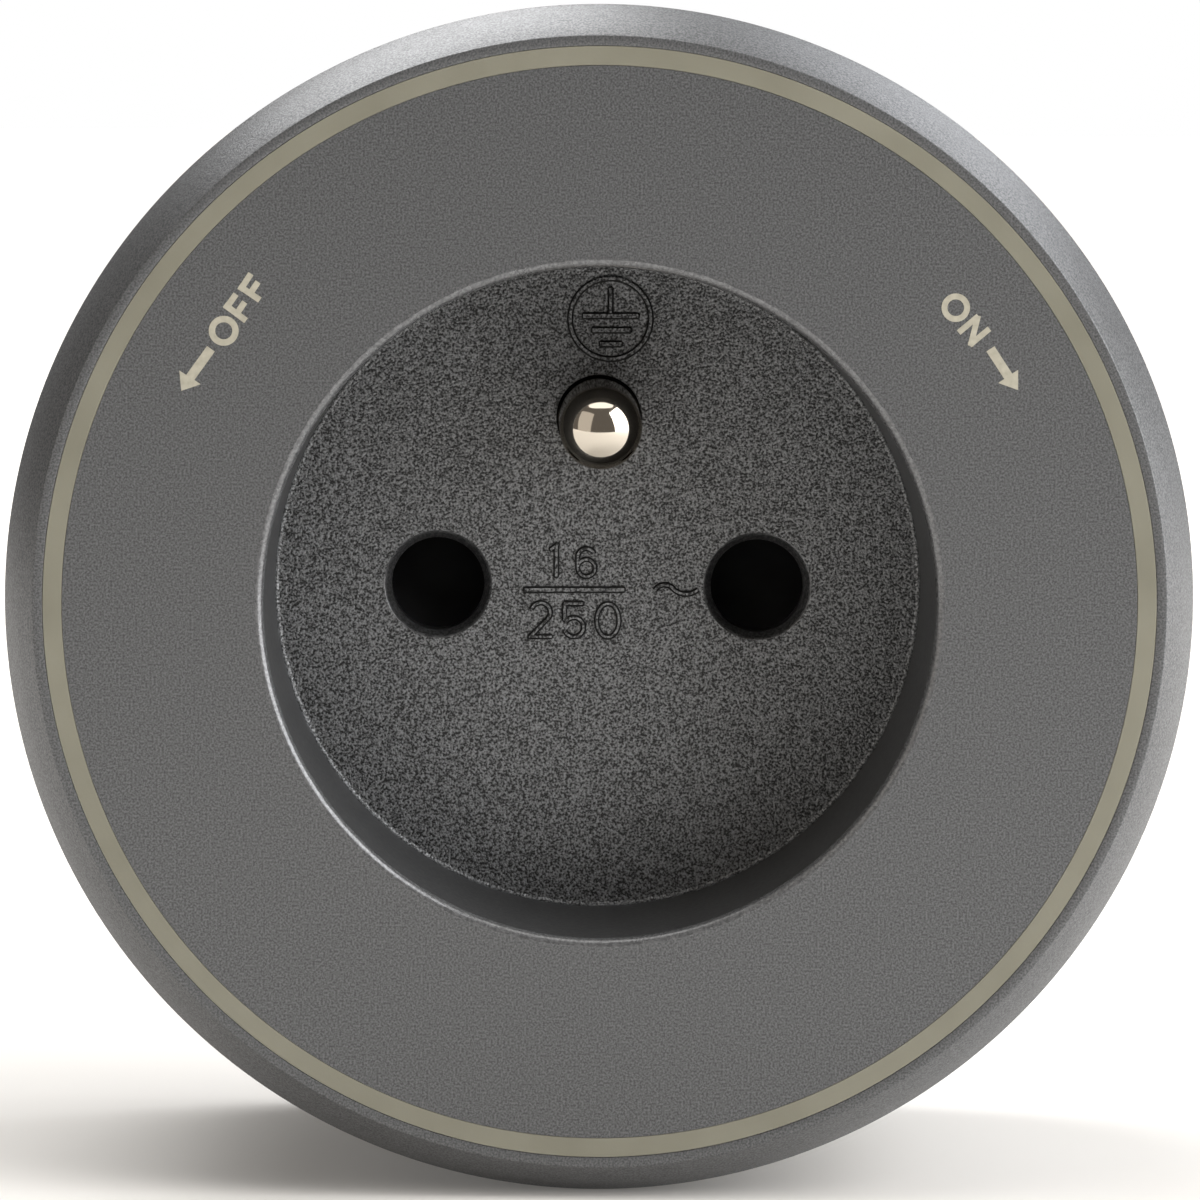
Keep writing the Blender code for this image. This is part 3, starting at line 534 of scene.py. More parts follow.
# Raised signs of the recess floor: the earth sign in its circle, and 16 over 250 with the wave.
# They are cut into the mould, so they stand two tenths of a millimetre proud of the floor.
sign_height = 0.00022
sign_edge = 0.00010
sign_root = 0.0006
sign_layer = (recess_depth - sign_height, recess_depth + sign_root)
bent_width = 0.00033
bend_steps = 40


def mm(*values):
    """Millimetres to metres, for places that are easier to read in millimetres."""
    return tuple(value * 0.001 for value in values)


def straight_stroke(ends, width, layer):
    """A square-ended stroke between two points of the face plane, in a layer of depths."""
    x0, z0, x1, z1 = ends
    front, rear = layer
    length = math.hypot(x1 - x0, z1 - z0)
    lean = math.atan2(z1 - z0, x1 - x0)
    place = ((x0 + x1) / 2, front_y + (front + rear) / 2, (z0 + z1) / 2)
    bpy.ops.object.select_all(action="DESELECT")
    bpy.ops.mesh.primitive_cube_add(size=1, location=place, rotation=(0, -lean, 0),
                                    scale=(length, rear - front, width))
    return at_origin()


def bent_stroke(centre, radius, start, end, width, layer):
    """A stroke along an arc: a section with cut front corners, spun about the arc's centre."""
    front, rear = layer
    bpy.ops.object.select_all(action="DESELECT")
    bpy.ops.mesh.primitive_plane_add(size=1, location=(radius, 0, 0))
    stroke = bpy.context.object
    stroke.scale = (width, rear - front, 1)
    at_origin()
    for part in (*stroke.data.edges, *stroke.data.polygons):
        part.select = False
    for vert in stroke.data.vertices:
        vert.select = vert.co.y < 0
    bpy.ops.object.mode_set(mode="EDIT")
    bpy.ops.mesh.bevel(offset=sign_edge, affect="VERTICES")
    bpy.ops.mesh.select_all(action="SELECT")
    bpy.ops.mesh.spin(steps=bend_steps, angle=math.radians(end - start), center=(0, 0, 0),
                      axis=(0, 1, 0))
    face_outwards()
    turn = Matrix.Rotation(-math.radians(start), 4, "Y")
    middle_y = front_y + (front + rear) / 2
    stroke.data.transform(Matrix.Translation((centre[0], middle_y, centre[1])) @ turn)
    return stroke


def oval_stroke(centre, half_x, half_z, width, layer):
    """A closed oval stroke of even width."""
    front, rear = layer
    stroke = draw_rings("oval", [
        (half_x, front),
        (half_x, rear),
        (half_x - width, rear),
        (half_x - width, front),
    ], segments=72)
    between = half_x - width / 2
    for vert in stroke.data.vertices:
        outer = math.hypot(vert.co.x, vert.co.z) > between
        vert.co.z *= half_z / half_x if outer else (half_z - width) / (half_x - width)
    stroke.data.transform(Matrix.Translation((centre[0], 0, centre[1])))
    return stroke


# Straight ones: x and z of both ends, and the width, in millimetres.
straight_signs = [
    (0.63, 17.80, 0.64, 16.12, 0.36),
    (-1.08, 16.03, 2.38, 16.05, 0.42),
    (-0.54, 15.18, 1.92, 15.20, 0.42),
    (-0.06, 14.36, 1.40, 14.37, 0.42),
    (-2.30, 2.50, -2.90, 2.04, 0.34),
    (-2.48, 2.46, -2.47, 0.42, 0.36),
    (-1.20, 1.70, -1.19, 1.00, 0.32),
    (-4.44, -0.30, 1.68, -0.25, 0.40),
    (-2.90, -1.96, -4.09, -3.19, 0.33),
    (-4.16, -3.09, -2.62, -3.08, 0.33),
    (-2.10, -1.10, -0.77, -1.09, 0.33),
    (-1.96, -1.00, -1.97, -2.20, 0.33),
]
# Closed ones: x and z of the centre, the half width and height, and the stroke's width.
oval_signs = [
    (0.63, 15.87, 2.58, 2.58, 0.37),
    (-0.68, 1.03, 0.67, 0.67, 0.32),
    (0.62, -2.09, 0.83, 1.16, 0.33),
]
# Bent ones: x and z of the centre and the radius, and then the angles of both ends.
bent_signs = [
    ((-0.69, 1.67, 0.51), 25, 181),
    ((-3.38, -1.64, 0.57), -44, 161),
    ((-1.40, -2.51, 0.575), -160, 146),
    ((3.99, -0.62, 0.68), 36, 147),
    ((5.25, 0.60, 1.087), -144, -48),
]
signs = []
for stroke in straight_signs:
    *ends, width = mm(*stroke)
    signs.append(straight_stroke(ends, width, sign_layer))
for stroke in oval_signs:
    x, z, half_x, half_z, width = mm(*stroke)
    signs.append(oval_stroke((x, z), half_x, half_z, width, sign_layer))
for sign in signs:
    soften(sign, sign_edge, 1)
for place, start, end in bent_signs:
    x, z, radius = mm(*place)
    signs.append(bent_stroke((x, z), radius, start, end, bent_width, sign_layer))
for sign in signs:
    join(face_cup, sign)

# Painted shade: the side walls of the raised signs and the faces round the pin's base get a
# near-black finish that stands for their shade and shadow.
shade_edge_paint = new_material("painted_shade_edge", {"Roughness": 0.5})
add_mottle(shade_edge_paint, 0.0002, (0.005, 0.005, 0.005), (0.024, 0.024, 0.024), 0.35, 0.75)
add_grain(shade_edge_paint, 0.0002, 0.00001)
# Painted highlight: the rounded mouths of the recess and the pin holes get a lighter, glossier
# paint that brightens the highlight on their edges.
mouth_highlight_paint = new_material("mouth_highlight_paint", {"Metallic": 0.5, "IOR": 1.5})
add_mottle(mouth_highlight_paint, 0.00016, (0.120, 0.122, 0.126), (0.210, 0.213, 0.219))
add_gloss_change(mouth_highlight_paint, 0.0008, 0.24, 0.30)
add_grain(mouth_highlight_paint, 0.0005, 0.000008)
for finish in (face_paint, shaded_wall_paint, eroded_paint, shade_edge_paint, mouth_highlight_paint):
    face_cup.data.materials.append(finish)
on_wall, on_floor, on_shade_edge, on_mouth_highlight = 1, 2, 3, 4
level_play = 0.000002
rear_play = 0.0001
highlight_band_depth = 0.0002
sign_reach = recess_radius - 0.001
# Each recess face gets its finish by depth: the mouth finish is a painted highlight, and the wall
# finish carries painted shade.
for face in face_cup.data.polygons:
    depth = face.center.y - front_y
    radius = math.hypot(face.center.x, face.center.z)
    if radius > mouth_radius + mouth_lip or depth > floor_rear - rear_play:
        continue
    if depth > recess_depth + highlight_band_depth:
        face.material_index = on_wall
    elif depth > recess_depth + level_play:
        face.material_index = on_mouth_highlight
    elif depth > recess_depth - floor_fillet:
        face.material_index = on_floor
    else:
        face.material_index = on_mouth_highlight if depth < mouth_lip else on_wall
    on_sign = sign_layer[0] < depth < recess_depth and radius < sign_reach
    by_pin = math.hypot(face.center.x, face.center.z - earth_z) < earth_radius + fit_gap
    # Painted shade on the signs' side walls and in the gap round the pin's base.
    if on_sign and face.normal.y > -0.9 or by_pin:
        face.material_index = on_shade_edge
shade(face_cup)
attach(face_cup, "socket")
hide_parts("face_cup")


# Printed legends: OFF and ON with the arrows that show which way to turn the socket.
# They are pad-printed in warm beige ink, two hundredths of a millimetre proud of the face.
ink_layer = (-0.00002, 0.00002)
shaft_width = 0.00055
beige_ink = new_material("beige_ink", {"Roughness": 0.5})
add_mottle(beige_ink, 0.0004, (0.40, 0.375, 0.30), (0.50, 0.475, 0.385), 0.3, 0.7)
add_grain(beige_ink, 0.0002, 0.000004)


def cut_plate(outline, start, end, along="Y"):
    """A plate cut to (x, z) points, or (depth, z) points along X, or (x, depth) along Z."""
    bpy.ops.object.select_all(action="DESELECT")
    bpy.ops.mesh.primitive_circle_add(vertices=len(outline), fill_type="NGON")
    plate = bpy.context.object
    for vert, (first, second) in zip(plate.data.vertices, outline):
        vert.co = {
            "X": (start, front_y + first, second),
            "Y": (first, front_y + start, second),
            "Z": (first, front_y + second, start),
        }[along]
    way = [end - start if axis == along else 0 for axis in "XYZ"]
    bpy.ops.object.mode_set(mode="EDIT")
    bpy.ops.mesh.select_all(action="SELECT")
    bpy.ops.mesh.extrude_region_move(TRANSFORM_OT_translate={"value": way})
    face_outwards()
    return plate


def arrow(shaft, head):
    """A straight shaft with a three-cornered head."""
    body = straight_stroke(shaft, shaft_width, ink_layer)
    join(body, cut_plate(head, *ink_layer))
    return body


def letter(strokes, width):
    """Straight strokes merged into one letter."""
    body = straight_stroke(strokes[0], width, ink_layer)
    for stroke in strokes[1:]:
        join(body, straight_stroke(stroke, width, ink_layer))
    return body


off_parts = [
    oval_stroke(mm(-21.73, 15.61), 0.00086, 0.00086, 0.00037, ink_layer),
    letter([
        mm(-21.69, 17.12, -20.45, 16.20),
        mm(-21.64, 16.85, -21.03, 17.72),
        mm(-20.95, 16.64, -20.53, 17.27),
    ], 0.00035),
    letter([
        mm(-20.86, 18.19, -19.66, 17.39),
        mm(-20.81, 17.93, -20.18, 18.90),
        mm(-20.19, 17.80, -19.77, 18.43),
    ], 0.00035),
    arrow(mm(-22.46, 14.57, -23.72, 12.80),
          [mm(-24.27, 13.31), mm(-24.15, 12.14), mm(-23.03, 12.53)]),
]
on_parts = [
    oval_stroke(mm(20.31, 17.25), 0.00082, 0.00082, 0.00034, ink_layer),
    letter([
        mm(20.49, 15.82, 21.62, 16.78),
        mm(21.60, 16.80, 21.18, 15.06),
        mm(21.13, 15.10, 22.26, 16.06),
    ], 0.00033),
    arrow(mm(22.33, 14.90, 23.46, 13.20),
          [mm(23.94, 13.71), mm(23.95, 12.54), mm(22.80, 12.94)]),
]
for name, parts in (("off_legend", off_parts), ("on_legend", on_parts)):
    bpy.ops.object.select_all(action="DESELECT")
    for part in parts:
        part.select_set(True)
    bpy.context.view_layer.objects.active = parts[0]
    bpy.ops.object.join()
    legend = bpy.context.object
    legend.name = name
    legend.data.materials.append(beige_ink)
    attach(legend, "socket")


# Earth pin: turned brass, nickel plated and polished, riveted behind the recess floor.
# Its ball nose stands a millimetre behind the face.
pin_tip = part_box("earth_pin")[0].y - front_y
collar_radius = 0.0038
collar_front = 0.0178
collar_rear = 0.0193
rivet_radius = 0.0018
rivet_head, rivet_crown = 0.0027, 0.0022
rivet_front = 0.0207
rivet_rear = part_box("earth_pin")[1].y - front_y
nose_steps = 24
# The nickel's dark specular tint dims the pin's grazing reflections, as painted shade at the rim
# of its ball.
nickel = new_material("polished_nickel", {
    "Base Color": (0.62, 0.565, 0.485, 1),
    "Metallic": 1,
    "Specular Tint": (0.45, 0.42, 0.38, 1),
})
add_gloss_change(nickel, 0.0015, 0.05, 0.10)
add_grain(nickel, 0.0004, 0.0000012, 3)
pin_nose = arc((0, pin_tip + earth_radius), earth_radius, 0, -90, nose_steps)
pin_nose[-1] = (merge_distance / 10, pin_tip)
earth_pin = draw_rings("turned_earth_pin", [
    (rivet_crown, rivet_rear),
    (rivet_head, rivet_front),
    (rivet_radius, rivet_front),
    (rivet_radius, collar_rear),
    (collar_radius, collar_rear),
    (collar_radius, collar_front),
    (earth_radius, collar_front),
    *pin_nose,
], False, (0, earth_z), 96)
make_active(earth_pin)
bpy.ops.object.shade_smooth_by_angle(angle=sharp_angle)
fit(earth_pin, "earth_pin", nickel)


# Shutter: a black slider with a ramp behind each pin hole, held up by a coil spring.
# Two plug pins that press on the ramps together drive it down and pass into the contacts.
shutter_low, shutter_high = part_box("shutter")
shutter_front = shutter_low.y - front_y
shutter_rear = shutter_high.y - front_y
shutter_top = shutter_high.z
shutter_half = shutter_high.x
shutter_edge = 0.00015
spigot_radius = 0.0011
spigot_length = 0.0025
spigot_root = 0.001
shutter_bottom = shutter_low.z + spigot_length
ramp_half = 0.0037
ramp_tip = 0.0010
bar_front = shutter_rear - 0.0050
spring_y = front_y + (bar_front + shutter_rear) / 2


def block(x_range, depth_range, z_range):
    """A box between two corners."""
    size = [high - low for low, high in (x_range, depth_range, z_range)]
    middle = [(low + high) / 2 for low, high in (x_range, depth_range, z_range)]
    bpy.ops.object.select_all(action="DESELECT")
    bpy.ops.mesh.primitive_cube_add(size=1, scale=size,
                                    location=(middle[0], front_y + middle[1], middle[2]))
    return at_origin()


def upright_peg(radius, bottom, top):
    """A round peg on the spring's axis."""
    bpy.ops.object.select_all(action="DESELECT")
    bpy.ops.mesh.primitive_cylinder_add(vertices=32, radius=radius, depth=top - bottom,
                                        location=(0, spring_y, (bottom + top) / 2))
    return at_origin()


shutter_black = new_material("glossy_black", {"Roughness": 0.10, "IOR": 1.5})
add_mottle(shutter_black, 0.002, (0.0180, 0.0180, 0.0185), (0.0220, 0.0220, 0.0225))
add_grain(shutter_black, 0.0010, 0.000004)
shutter = block((-shutter_half, shutter_half), (bar_front, shutter_rear),
                (shutter_bottom, -shutter_top + fit_gap))
for side in (-1, 1):
    join(shutter, cut_plate([
        (shutter_front, -shutter_top),
        (shutter_front, shutter_bottom),
        (shutter_rear, shutter_bottom),
        (shutter_rear, shutter_top),
        (shutter_rear - ramp_tip, shutter_top),
    ], side * pin_x - ramp_half, side * pin_x + ramp_half, "X"))
join(shutter, upright_peg(spigot_radius, shutter_low.z, shutter_bottom + spigot_root))
shutter.name = "moulded_shutter"
soften(shutter, shutter_edge, 3)
shutter.data.materials.append(shutter_black)
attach(shutter, "shutter_slide")
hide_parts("shutter")

# Its spring: seven turns of steel wire on two spigots, with closed ends.
spring_low, spring_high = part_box("shutter_spring")
spring_wire = 0.00025
spring_radius = 0.0018
spring_turns = 7
spring_steps = 40
spring_length = spring_high.z - spring_low.z
closed_pitch = 2 * spring_wire + 0.0001
free_pitch = (spring_length - 2 * spring_wire - 2 * closed_pitch) / (spring_turns - 2)
spring_steel = new_material("spring_steel", {"Metallic": 1, "IOR": 1.5})
add_mottle(spring_steel, 0.002, (0.44, 0.45, 0.47), (0.56, 0.57, 0.59))
add_gloss_change(spring_steel, 0.0005, 0.18, 0.32)
bpy.ops.object.select_all(action="DESELECT")
bpy.ops.mesh.primitive_circle_add(vertices=16, radius=spring_wire, location=(spring_radius, 0, 0),
                                  rotation=(math.pi / 2, 0, 0))
spring = at_origin()
spring.name = "coil_spring"
bpy.ops.object.mode_set(mode="EDIT")
bpy.ops.mesh.select_all(action="SELECT")
for step in range(spring_turns * spring_steps):
    turn = step / spring_steps
    closed = turn < 1 or turn >= spring_turns - 1
    rise = (closed_pitch if closed else free_pitch) / spring_steps
    bpy.ops.mesh.extrude_region()
    bpy.ops.transform.rotate(value=-2 * math.pi / spring_steps, orient_axis="Z",
                             center_override=(0, 0, 0))
    bpy.ops.transform.translate(value=(0, 0, rise))
bpy.ops.mesh.select_all(action="SELECT")
bpy.ops.mesh.fill_holes(sides=0)
face_outwards()
spring.data.transform(Matrix.Translation((0, spring_y, spring_low.z + spring_wire)))
bpy.ops.object.shade_smooth_by_angle(angle=sharp_angle)
fit(spring, "shutter_spring", spring_steel)
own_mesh(spring)


# Contact carrier: a grey moulding that guides the shutter in front and holds two clips behind.
# It is screwed by its two ears to bosses on the back of the cup.
carrier_low, carrier_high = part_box("contact_carrier")
carrier_rear = carrier_high.y - front_y
carrier_wall = 0.0015
carrier_plate = 0.0016
carrier_edge = 0.00010
channel_bottom = carrier_low.z + carrier_wall
channel_top = shutter_top + fit_gap
channel_half = shutter_half + fit_gap
carrier_top = channel_top + carrier_wall
carrier_half = channel_half + carrier_wall
plate_front = shutter_rear + fit_gap
plate_rear = plate_front + carrier_plate
pocket_half_height = 0.00425
pocket_half_width = 0.0037
pocket_wall = 0.0015
pocket_high = pocket_half_height + pocket_wall
pocket_wide = pocket_half_width + pocket_wall
peg_root = 0.0007
ear_radius = 0.0026

carrier_grey = new_material("carrier_grey", {"IOR": 1.5})
add_mottle(carrier_grey, 0.002, (0.17, 0.17, 0.18), (0.20, 0.20, 0.21))
add_gloss_change(carrier_grey, 0.001, 0.42, 0.55)
add_grain(carrier_grey, 0.0004, 0.000008)
carrier = block((-carrier_half, carrier_half), (shutter_front, plate_rear),
                (carrier_low.z, carrier_top))
cut(carrier, block((-channel_half, channel_half), (0, plate_front), (channel_bottom, channel_top)))
for side in (-1, 1):
    centre = side * pin_x
    ear = (side * ear_x, ear_z)
    wall = side * (channel_half + carrier_wall / 2)
    join(carrier, block((centre - pocket_wide, centre + pocket_wide), (plate_front, carrier_rear),
                        (-pocket_high, pocket_high)))
    cut(carrier, block((centre - pocket_half_width, centre + pocket_half_width),
                       (plate_rear, beyond), (-pocket_half_height, pocket_half_height)))
    bore(carrier, pin_hole, (centre, 0), segments=64)
    join(carrier, rod(ear_radius, ear_front, plate_front, ear))
    join(carrier, block(sorted((wall, ear[0])), (ear_front, plate_front),
                        (ear_z - ear_radius, ear_z + ear_radius)))
    bore(carrier, carrier_shank + fit_gap, ear, segments=32)
join(carrier, upright_peg(spigot_radius, carrier_low.z + peg_root,
                          channel_bottom + spigot_length))
carrier.name = "moulded_carrier"
soften(carrier, carrier_edge)
fit(carrier, "contact_carrier", carrier_grey)


# Contacts: a brass clip for each pin, with two sprung leaves whose mouths flare open.
# A tail on each clip's base meets its blade in the foot.
clip_thickness = 0.0007
clip_front = plate_rear + fit_gap
tail_front = carrier_rear + fit_gap
tail_rear = tail_front + clip_thickness
clip_gap = 0.00235
clip_flare = 0.0008
flare_shares = (1, 0.42, 0.06, 0, 0.04)
clip_half_width = 0.0025
clip_edge = 0.00006
blade_width = 0.0046
blade_offset = 0.0023
blade_thickness = 0.0012
tail_half = 0.0014

brass = new_material("stamped_brass", {"Metallic": 1, "IOR": 1.5})
add_mottle(brass, 0.003, (0.62, 0.43, 0.17), (0.72, 0.53, 0.25))
add_gloss_change(brass, 0.001, 0.20, 0.36)
add_grain(brass, 0.0006, 0.000003, 3, (1, 1, 0.1))
leaf_path = [(clip_front + step * clip_flare, clip_gap + clip_flare * share)
             for step, share in enumerate(flare_shares)]
leaf_path += [
    (tail_front - clip_flare, clip_gap + clip_flare / 2),
    (tail_rear, clip_gap + clip_flare / 2),
]
leaf_back = [(depth, z + clip_thickness) for depth, z in reversed(leaf_path)]
for name, side in (("live_contact", 1), ("neutral_contact", -1)):
    left, right = side * pin_x - clip_half_width, side * pin_x + clip_half_width
    clip = block((left, right), (tail_front, tail_rear), (-pocket_high, pocket_high))
    for way in (1, -1):
        leaf = [(depth, way * z) for depth, z in leaf_path + leaf_back]
        join(clip, cut_plate(leaf, left, right, "X"))
    blade_middle = side * (blade_offset + blade_thickness / 2)
    tail = sorted((-side * blade_width / 2, side * pin_x))
    join(clip, block(tail, (tail_front, tail_rear),
                     (blade_middle - tail_half, blade_middle + tail_half)))
    clip.name = "folded_" + name
    soften(clip, clip_edge)
    fit(clip, name, brass)


# Carrier screws: zinc-plated pan heads with a cross recess, cut into the cup's ear bosses.
# The same making serves the case, foot and cap screws further on.
carrier_head = 0.0020
carrier_head_height = 0.0011
carrier_screw_length = 0.0058
carrier_pitch = 0.00065
thread_share = 0.74
tip_share = 0.25
head_profile = [(0.97, 0), (1, 0.12), (1, 0.45), (0.93, 0.75), (0.78, 0.94), (0.55, 1)]
thread_steps = 30
thread_end = 1.6
off_corners = 0.03
tooth_width = 0.64
tooth_root = 0.96
recess_share = 0.62
recess_width = 0.20
recess_reach = 0.52
recess_taper = 0.62
cutter_over = 0.0005

zinc_steel = new_material("zinc_steel", {"Metallic": 1, "IOR": 1.5})
add_mottle(zinc_steel, 0.001, (0.46, 0.47, 0.49), (0.58, 0.59, 0.61))
add_gloss_change(zinc_steel, 0.0006, 0.2, 0.36)


def make_screw(name, place, seat, shank, head, height, length, pitch):
    """A pan-head screw along the depth, with its thread and its cross recess."""
    root = shank * thread_share
    screw = draw_rings(name, [
        (shank * tip_share, seat - length),
        (root, seat - length + shank),
        (root, seat - pitch / 2),
        (shank, seat),
        *[(head * out, seat + height * up) for out, up in head_profile],
    ], False, place, 48)
    bpy.ops.object.select_all(action="DESELECT")
    bpy.ops.mesh.primitive_circle_add(vertices=3, fill_type="NOTHING")
    thread = bpy.context.object
    inner = root * tooth_root
    width = pitch * tooth_width
    tooth = [(inner, 0, 0), (shank, 0, width / 2), (inner, 0, width)]
    for vert, corner in zip(thread.data.vertices, tooth):
        vert.co = corner
    turns = int((length - 2 * pitch - shank) / pitch)
    winding = thread.modifiers.new("winding", "SCREW")
    winding.steps = winding.render_steps = thread_steps
    winding.iterations = turns
    winding.screw_offset = pitch
    bpy.ops.object.modifier_apply(modifier=winding.name)
    bpy.ops.object.mode_set(mode="EDIT")
    bpy.ops.mesh.select_all(action="SELECT")
    bpy.ops.mesh.fill_holes(sides=0)
    bpy.ops.mesh.quads_convert_to_tris()
    face_outwards()
    start = seat - (thread_end + turns) * pitch
    lay_down = Matrix.Rotation(-math.pi / 2, 4, "X") @ Matrix.Rotation(off_corners, 4, "Z")
    thread.data.transform(Matrix.Translation((place[0], front_y + start, place[1])) @ lay_down)
    join(screw, thread)
    top = seat + height
    long, short = head * recess_reach, head * recess_width / 2
    for half_x, half_z in ((long, short), (short, long)):
        slot = block((place[0] - half_x, place[0] + half_x),
                     (top - height * recess_share, top + cutter_over),
                     (place[1] - half_z, place[1] + half_z))
        for vert in slot.data.vertices:
            if vert.co.y < front_y + top:
                vert.co.x = place[0] + (vert.co.x - place[0]) * recess_taper
                vert.co.z = place[1] + (vert.co.z - place[1]) * recess_taper
        cut(screw, slot)
    make_active(screw)
    bpy.ops.object.shade_smooth_by_angle(angle=sharp_angle)
    return screw


def copy_piece(piece, name, change):
    """The same piece again, moved or turned, with its own mesh."""
    twin = piece.copy()
    twin.data = piece.data.copy()
    twin.name = name
    twin.data.transform(change)
    bpy.context.collection.objects.link(twin)
    return twin


carrier_screw = make_screw("ear_screw_1", (ear_x, ear_z), plate_front + fit_gap, carrier_shank,
                           carrier_head, carrier_head_height, carrier_screw_length, carrier_pitch)
twin_screw = copy_piece(carrier_screw, "ear_screw_2", Matrix.Translation((-2 * ear_x, 0, 0)))
fit(carrier_screw, "carrier_screw_1", zinc_steel)
fit(twin_screw, "carrier_screw_2", zinc_steel)


# Earth strap: a brass strip under the pin's rivet, folded back past the carrier to the foot.
strap_low, strap_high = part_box("earth_strap")
strap_thickness = 0.0008
strap_edge = 0.00012
strap_front = strap_low.y - front_y
strap_rear = strap_high.y - front_y
strap_top = strap_high.z
strap_half = 0.0035
fold_lap = 0.0002
leg = (0.0033, 0.0073)
strap = cut_plate([
    (-strap_half, earth_z - strap_half),
    (strap_half, earth_z - strap_half),
    (strap_half, earth_z + strap_half),
    (leg[1], earth_z + strap_half),
    (leg[1], strap_top),
    (-strap_half, strap_top),
], strap_front, strap_front + strap_thickness)
join(strap, block(leg, (strap_front + fold_lap, strap_rear),
                  (strap_top - strap_thickness, strap_top)))
join(strap, block(leg, (strap_rear - strap_thickness, strap_rear),
                  (strap_low.z, strap_top - fold_lap)))
bore(strap, rivet_radius + seam, (0, earth_z))
strap.name = "folded_strap"
soften(strap, strap_edge)
fit(strap, "earth_strap", brass)


# Light board: a lacquered ring board under the shelf, notched round the cup's bosses.
# Six lamps are soldered to its front, each a white package with a yellow window.
board_low, board_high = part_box("led_board")
board_front = board_low.y - front_y
board_rear = board_high.y - front_y
board_inner = cup_radius + 0.0013
board_edge = 0.00006
lamp_low, lamp_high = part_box("led_1")
lamp_front = lamp_low.y - front_y
lamp_rear = lamp_high.y - front_y
lamp_circle = (lamp_low.x + lamp_high.x) / 2
lamp_half_length, lamp_half_width = 0.0016, 0.0013
lamp_edge = 0.00008
lamp_notch = 0.00065
window_radius = 0.00095
window_depth = 0.00025
window_share = 0.9
lamp_back_layer = 0.0002

lacquer = new_material("board_lacquer", {"IOR": 1.5})
add_mottle(lacquer, 0.003, (0.68, 0.69, 0.66), (0.76, 0.77, 0.74))
add_gloss_change(lacquer, 0.002, 0.3, 0.42)
board = draw_rings("ring_board", [
    (board_inner, board_front),
    (board_high.x, board_front),
    (board_high.x, board_rear),
    (board_inner, board_rear),
])
for place in screw_places:
    bore(board, boss_radius + fit_gap, place)
soften(board, board_edge)
fit(board, "led_board", lacquer)

package_white = new_material("lamp_package", {"Roughness": 0.35, "IOR": 1.5})
add_mottle(package_white, 0.001, (0.72, 0.71, 0.68), (0.80, 0.79, 0.76))
phosphor = new_material("lamp_window", {"Roughness": 0.15, "IOR": 1.5})
add_mottle(phosphor, 0.0004, (0.66, 0.50, 0.12), (0.76, 0.62, 0.22))
lamp = cut_plate([
    (lamp_circle - lamp_half_width, -lamp_half_length),
    (lamp_circle + lamp_half_width, -lamp_half_length),
    (lamp_circle + lamp_half_width, lamp_half_length - lamp_notch),
    (lamp_circle + lamp_half_width - lamp_notch, lamp_half_length),
    (lamp_circle - lamp_half_width, lamp_half_length),
], lamp_front, lamp_rear)
soften(lamp, lamp_edge)
cut(lamp, rod(window_radius, 0, lamp_front + window_depth, (lamp_circle, 0), 40))
lamp.data.materials.append(package_white)
lamp.data.materials.append(phosphor)
for face in lamp.data.polygons:
    from_centre = math.hypot(face.center.x - lamp_circle, face.center.z)
    in_front = face.center.y < front_y + lamp_rear - lamp_back_layer
    if from_centre < window_radius * window_share and in_front:
        face.material_index = 1
for index in range(6):
    turn = Matrix.Rotation(-math.radians(60 * index), 4, "Y")
    twin = copy_piece(lamp, f"board_lamp_{index + 1}", turn)
    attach(twin, "socket")
    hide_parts(f"led_{index + 1}")
bpy.data.objects.remove(lamp)


# Rear cover: a black moulded lid that seats on the track, with its wells for the screws.
# A rim locates it in the housing, and three bosses meet those of the cup.
cover_front = 0.0393
cover_rear = 0.0420
cover_lip_front = 0.0405
cover_round = 0.0006
cover_edge = 0.00012
cover_rim_front = cover_front - 0.0010
cover_rim_radius = bore_radius - fit_gap
cover_rim_inner = cover_rim_radius - 0.0018
neck_radius = 0.0052
cover_boss = 0.0036
cover_boss_front = 0.0373
cover_boss_rear = cover_rear - 0.0007
screw_sink = 0.0004
case_head = 0.0026
case_head_height = 0.0014
case_screw_length = 0.009
case_pitch = 0.0009
case_seat = cover_rear - screw_sink - case_head_height
foot_shank = 0.0010
foot_head = 0.0022
foot_head_height = 0.0010
foot_seat = cover_rear - screw_sink - foot_head_height
foot_screw_z = 0.0095

grained_black = new_material("grained_black", {"IOR": 1.5})
add_mottle(grained_black, 0.0015, (0.016, 0.016, 0.017), (0.024, 0.024, 0.026))
add_gloss_change(grained_black, 0.0008, 0.42, 0.55)
add_grain(grained_black, 0.00025, 0.000014)
cover = draw_rings("moulded_cover", [
    (neck_radius + fit_gap, cover_front),
    (cover_rim_inner, cover_front),
    (cover_rim_inner, cover_rim_front),
    (cover_rim_radius, cover_rim_front),
    (cover_rim_radius, cover_lip_front),
    (rear_radius, cover_lip_front),
    *arc((rear_radius - cover_round, cover_rear - cover_round), cover_round, 0, 90, 6),
    (neck_radius + fit_gap, cover_rear),
])
for place in screw_places:
    join(cover, rod(cover_boss, cover_boss_front, cover_boss_rear, place))
    bore(cover, case_shank + fit_gap, place, segments=40)
    bore(cover, case_head + fit_gap, place, case_seat - seam)
for side in (-1, 1):
    place = (0, side * foot_screw_z)
    bore(cover, foot_shank + fit_gap, place, segments=40)
    bore(cover, foot_head + fit_gap, place, foot_seat - seam)
soften(cover, cover_edge)
fit(cover, "rear_cover", grained_black)

case_screw = make_screw("long_screw_1", screw_places[0], case_seat, case_shank, case_head,
                        case_head_height, case_screw_length, case_pitch)
for index, place in enumerate(screw_places):
    way = Matrix.Translation((place[0] - screw_places[0][0], 0, place[1] - screw_places[0][1]))
    piece = copy_piece(case_screw, f"long_screw_{index + 1}", way) if index else case_screw
    fit(piece, f"case_screw_{index + 1}", zinc_steel)


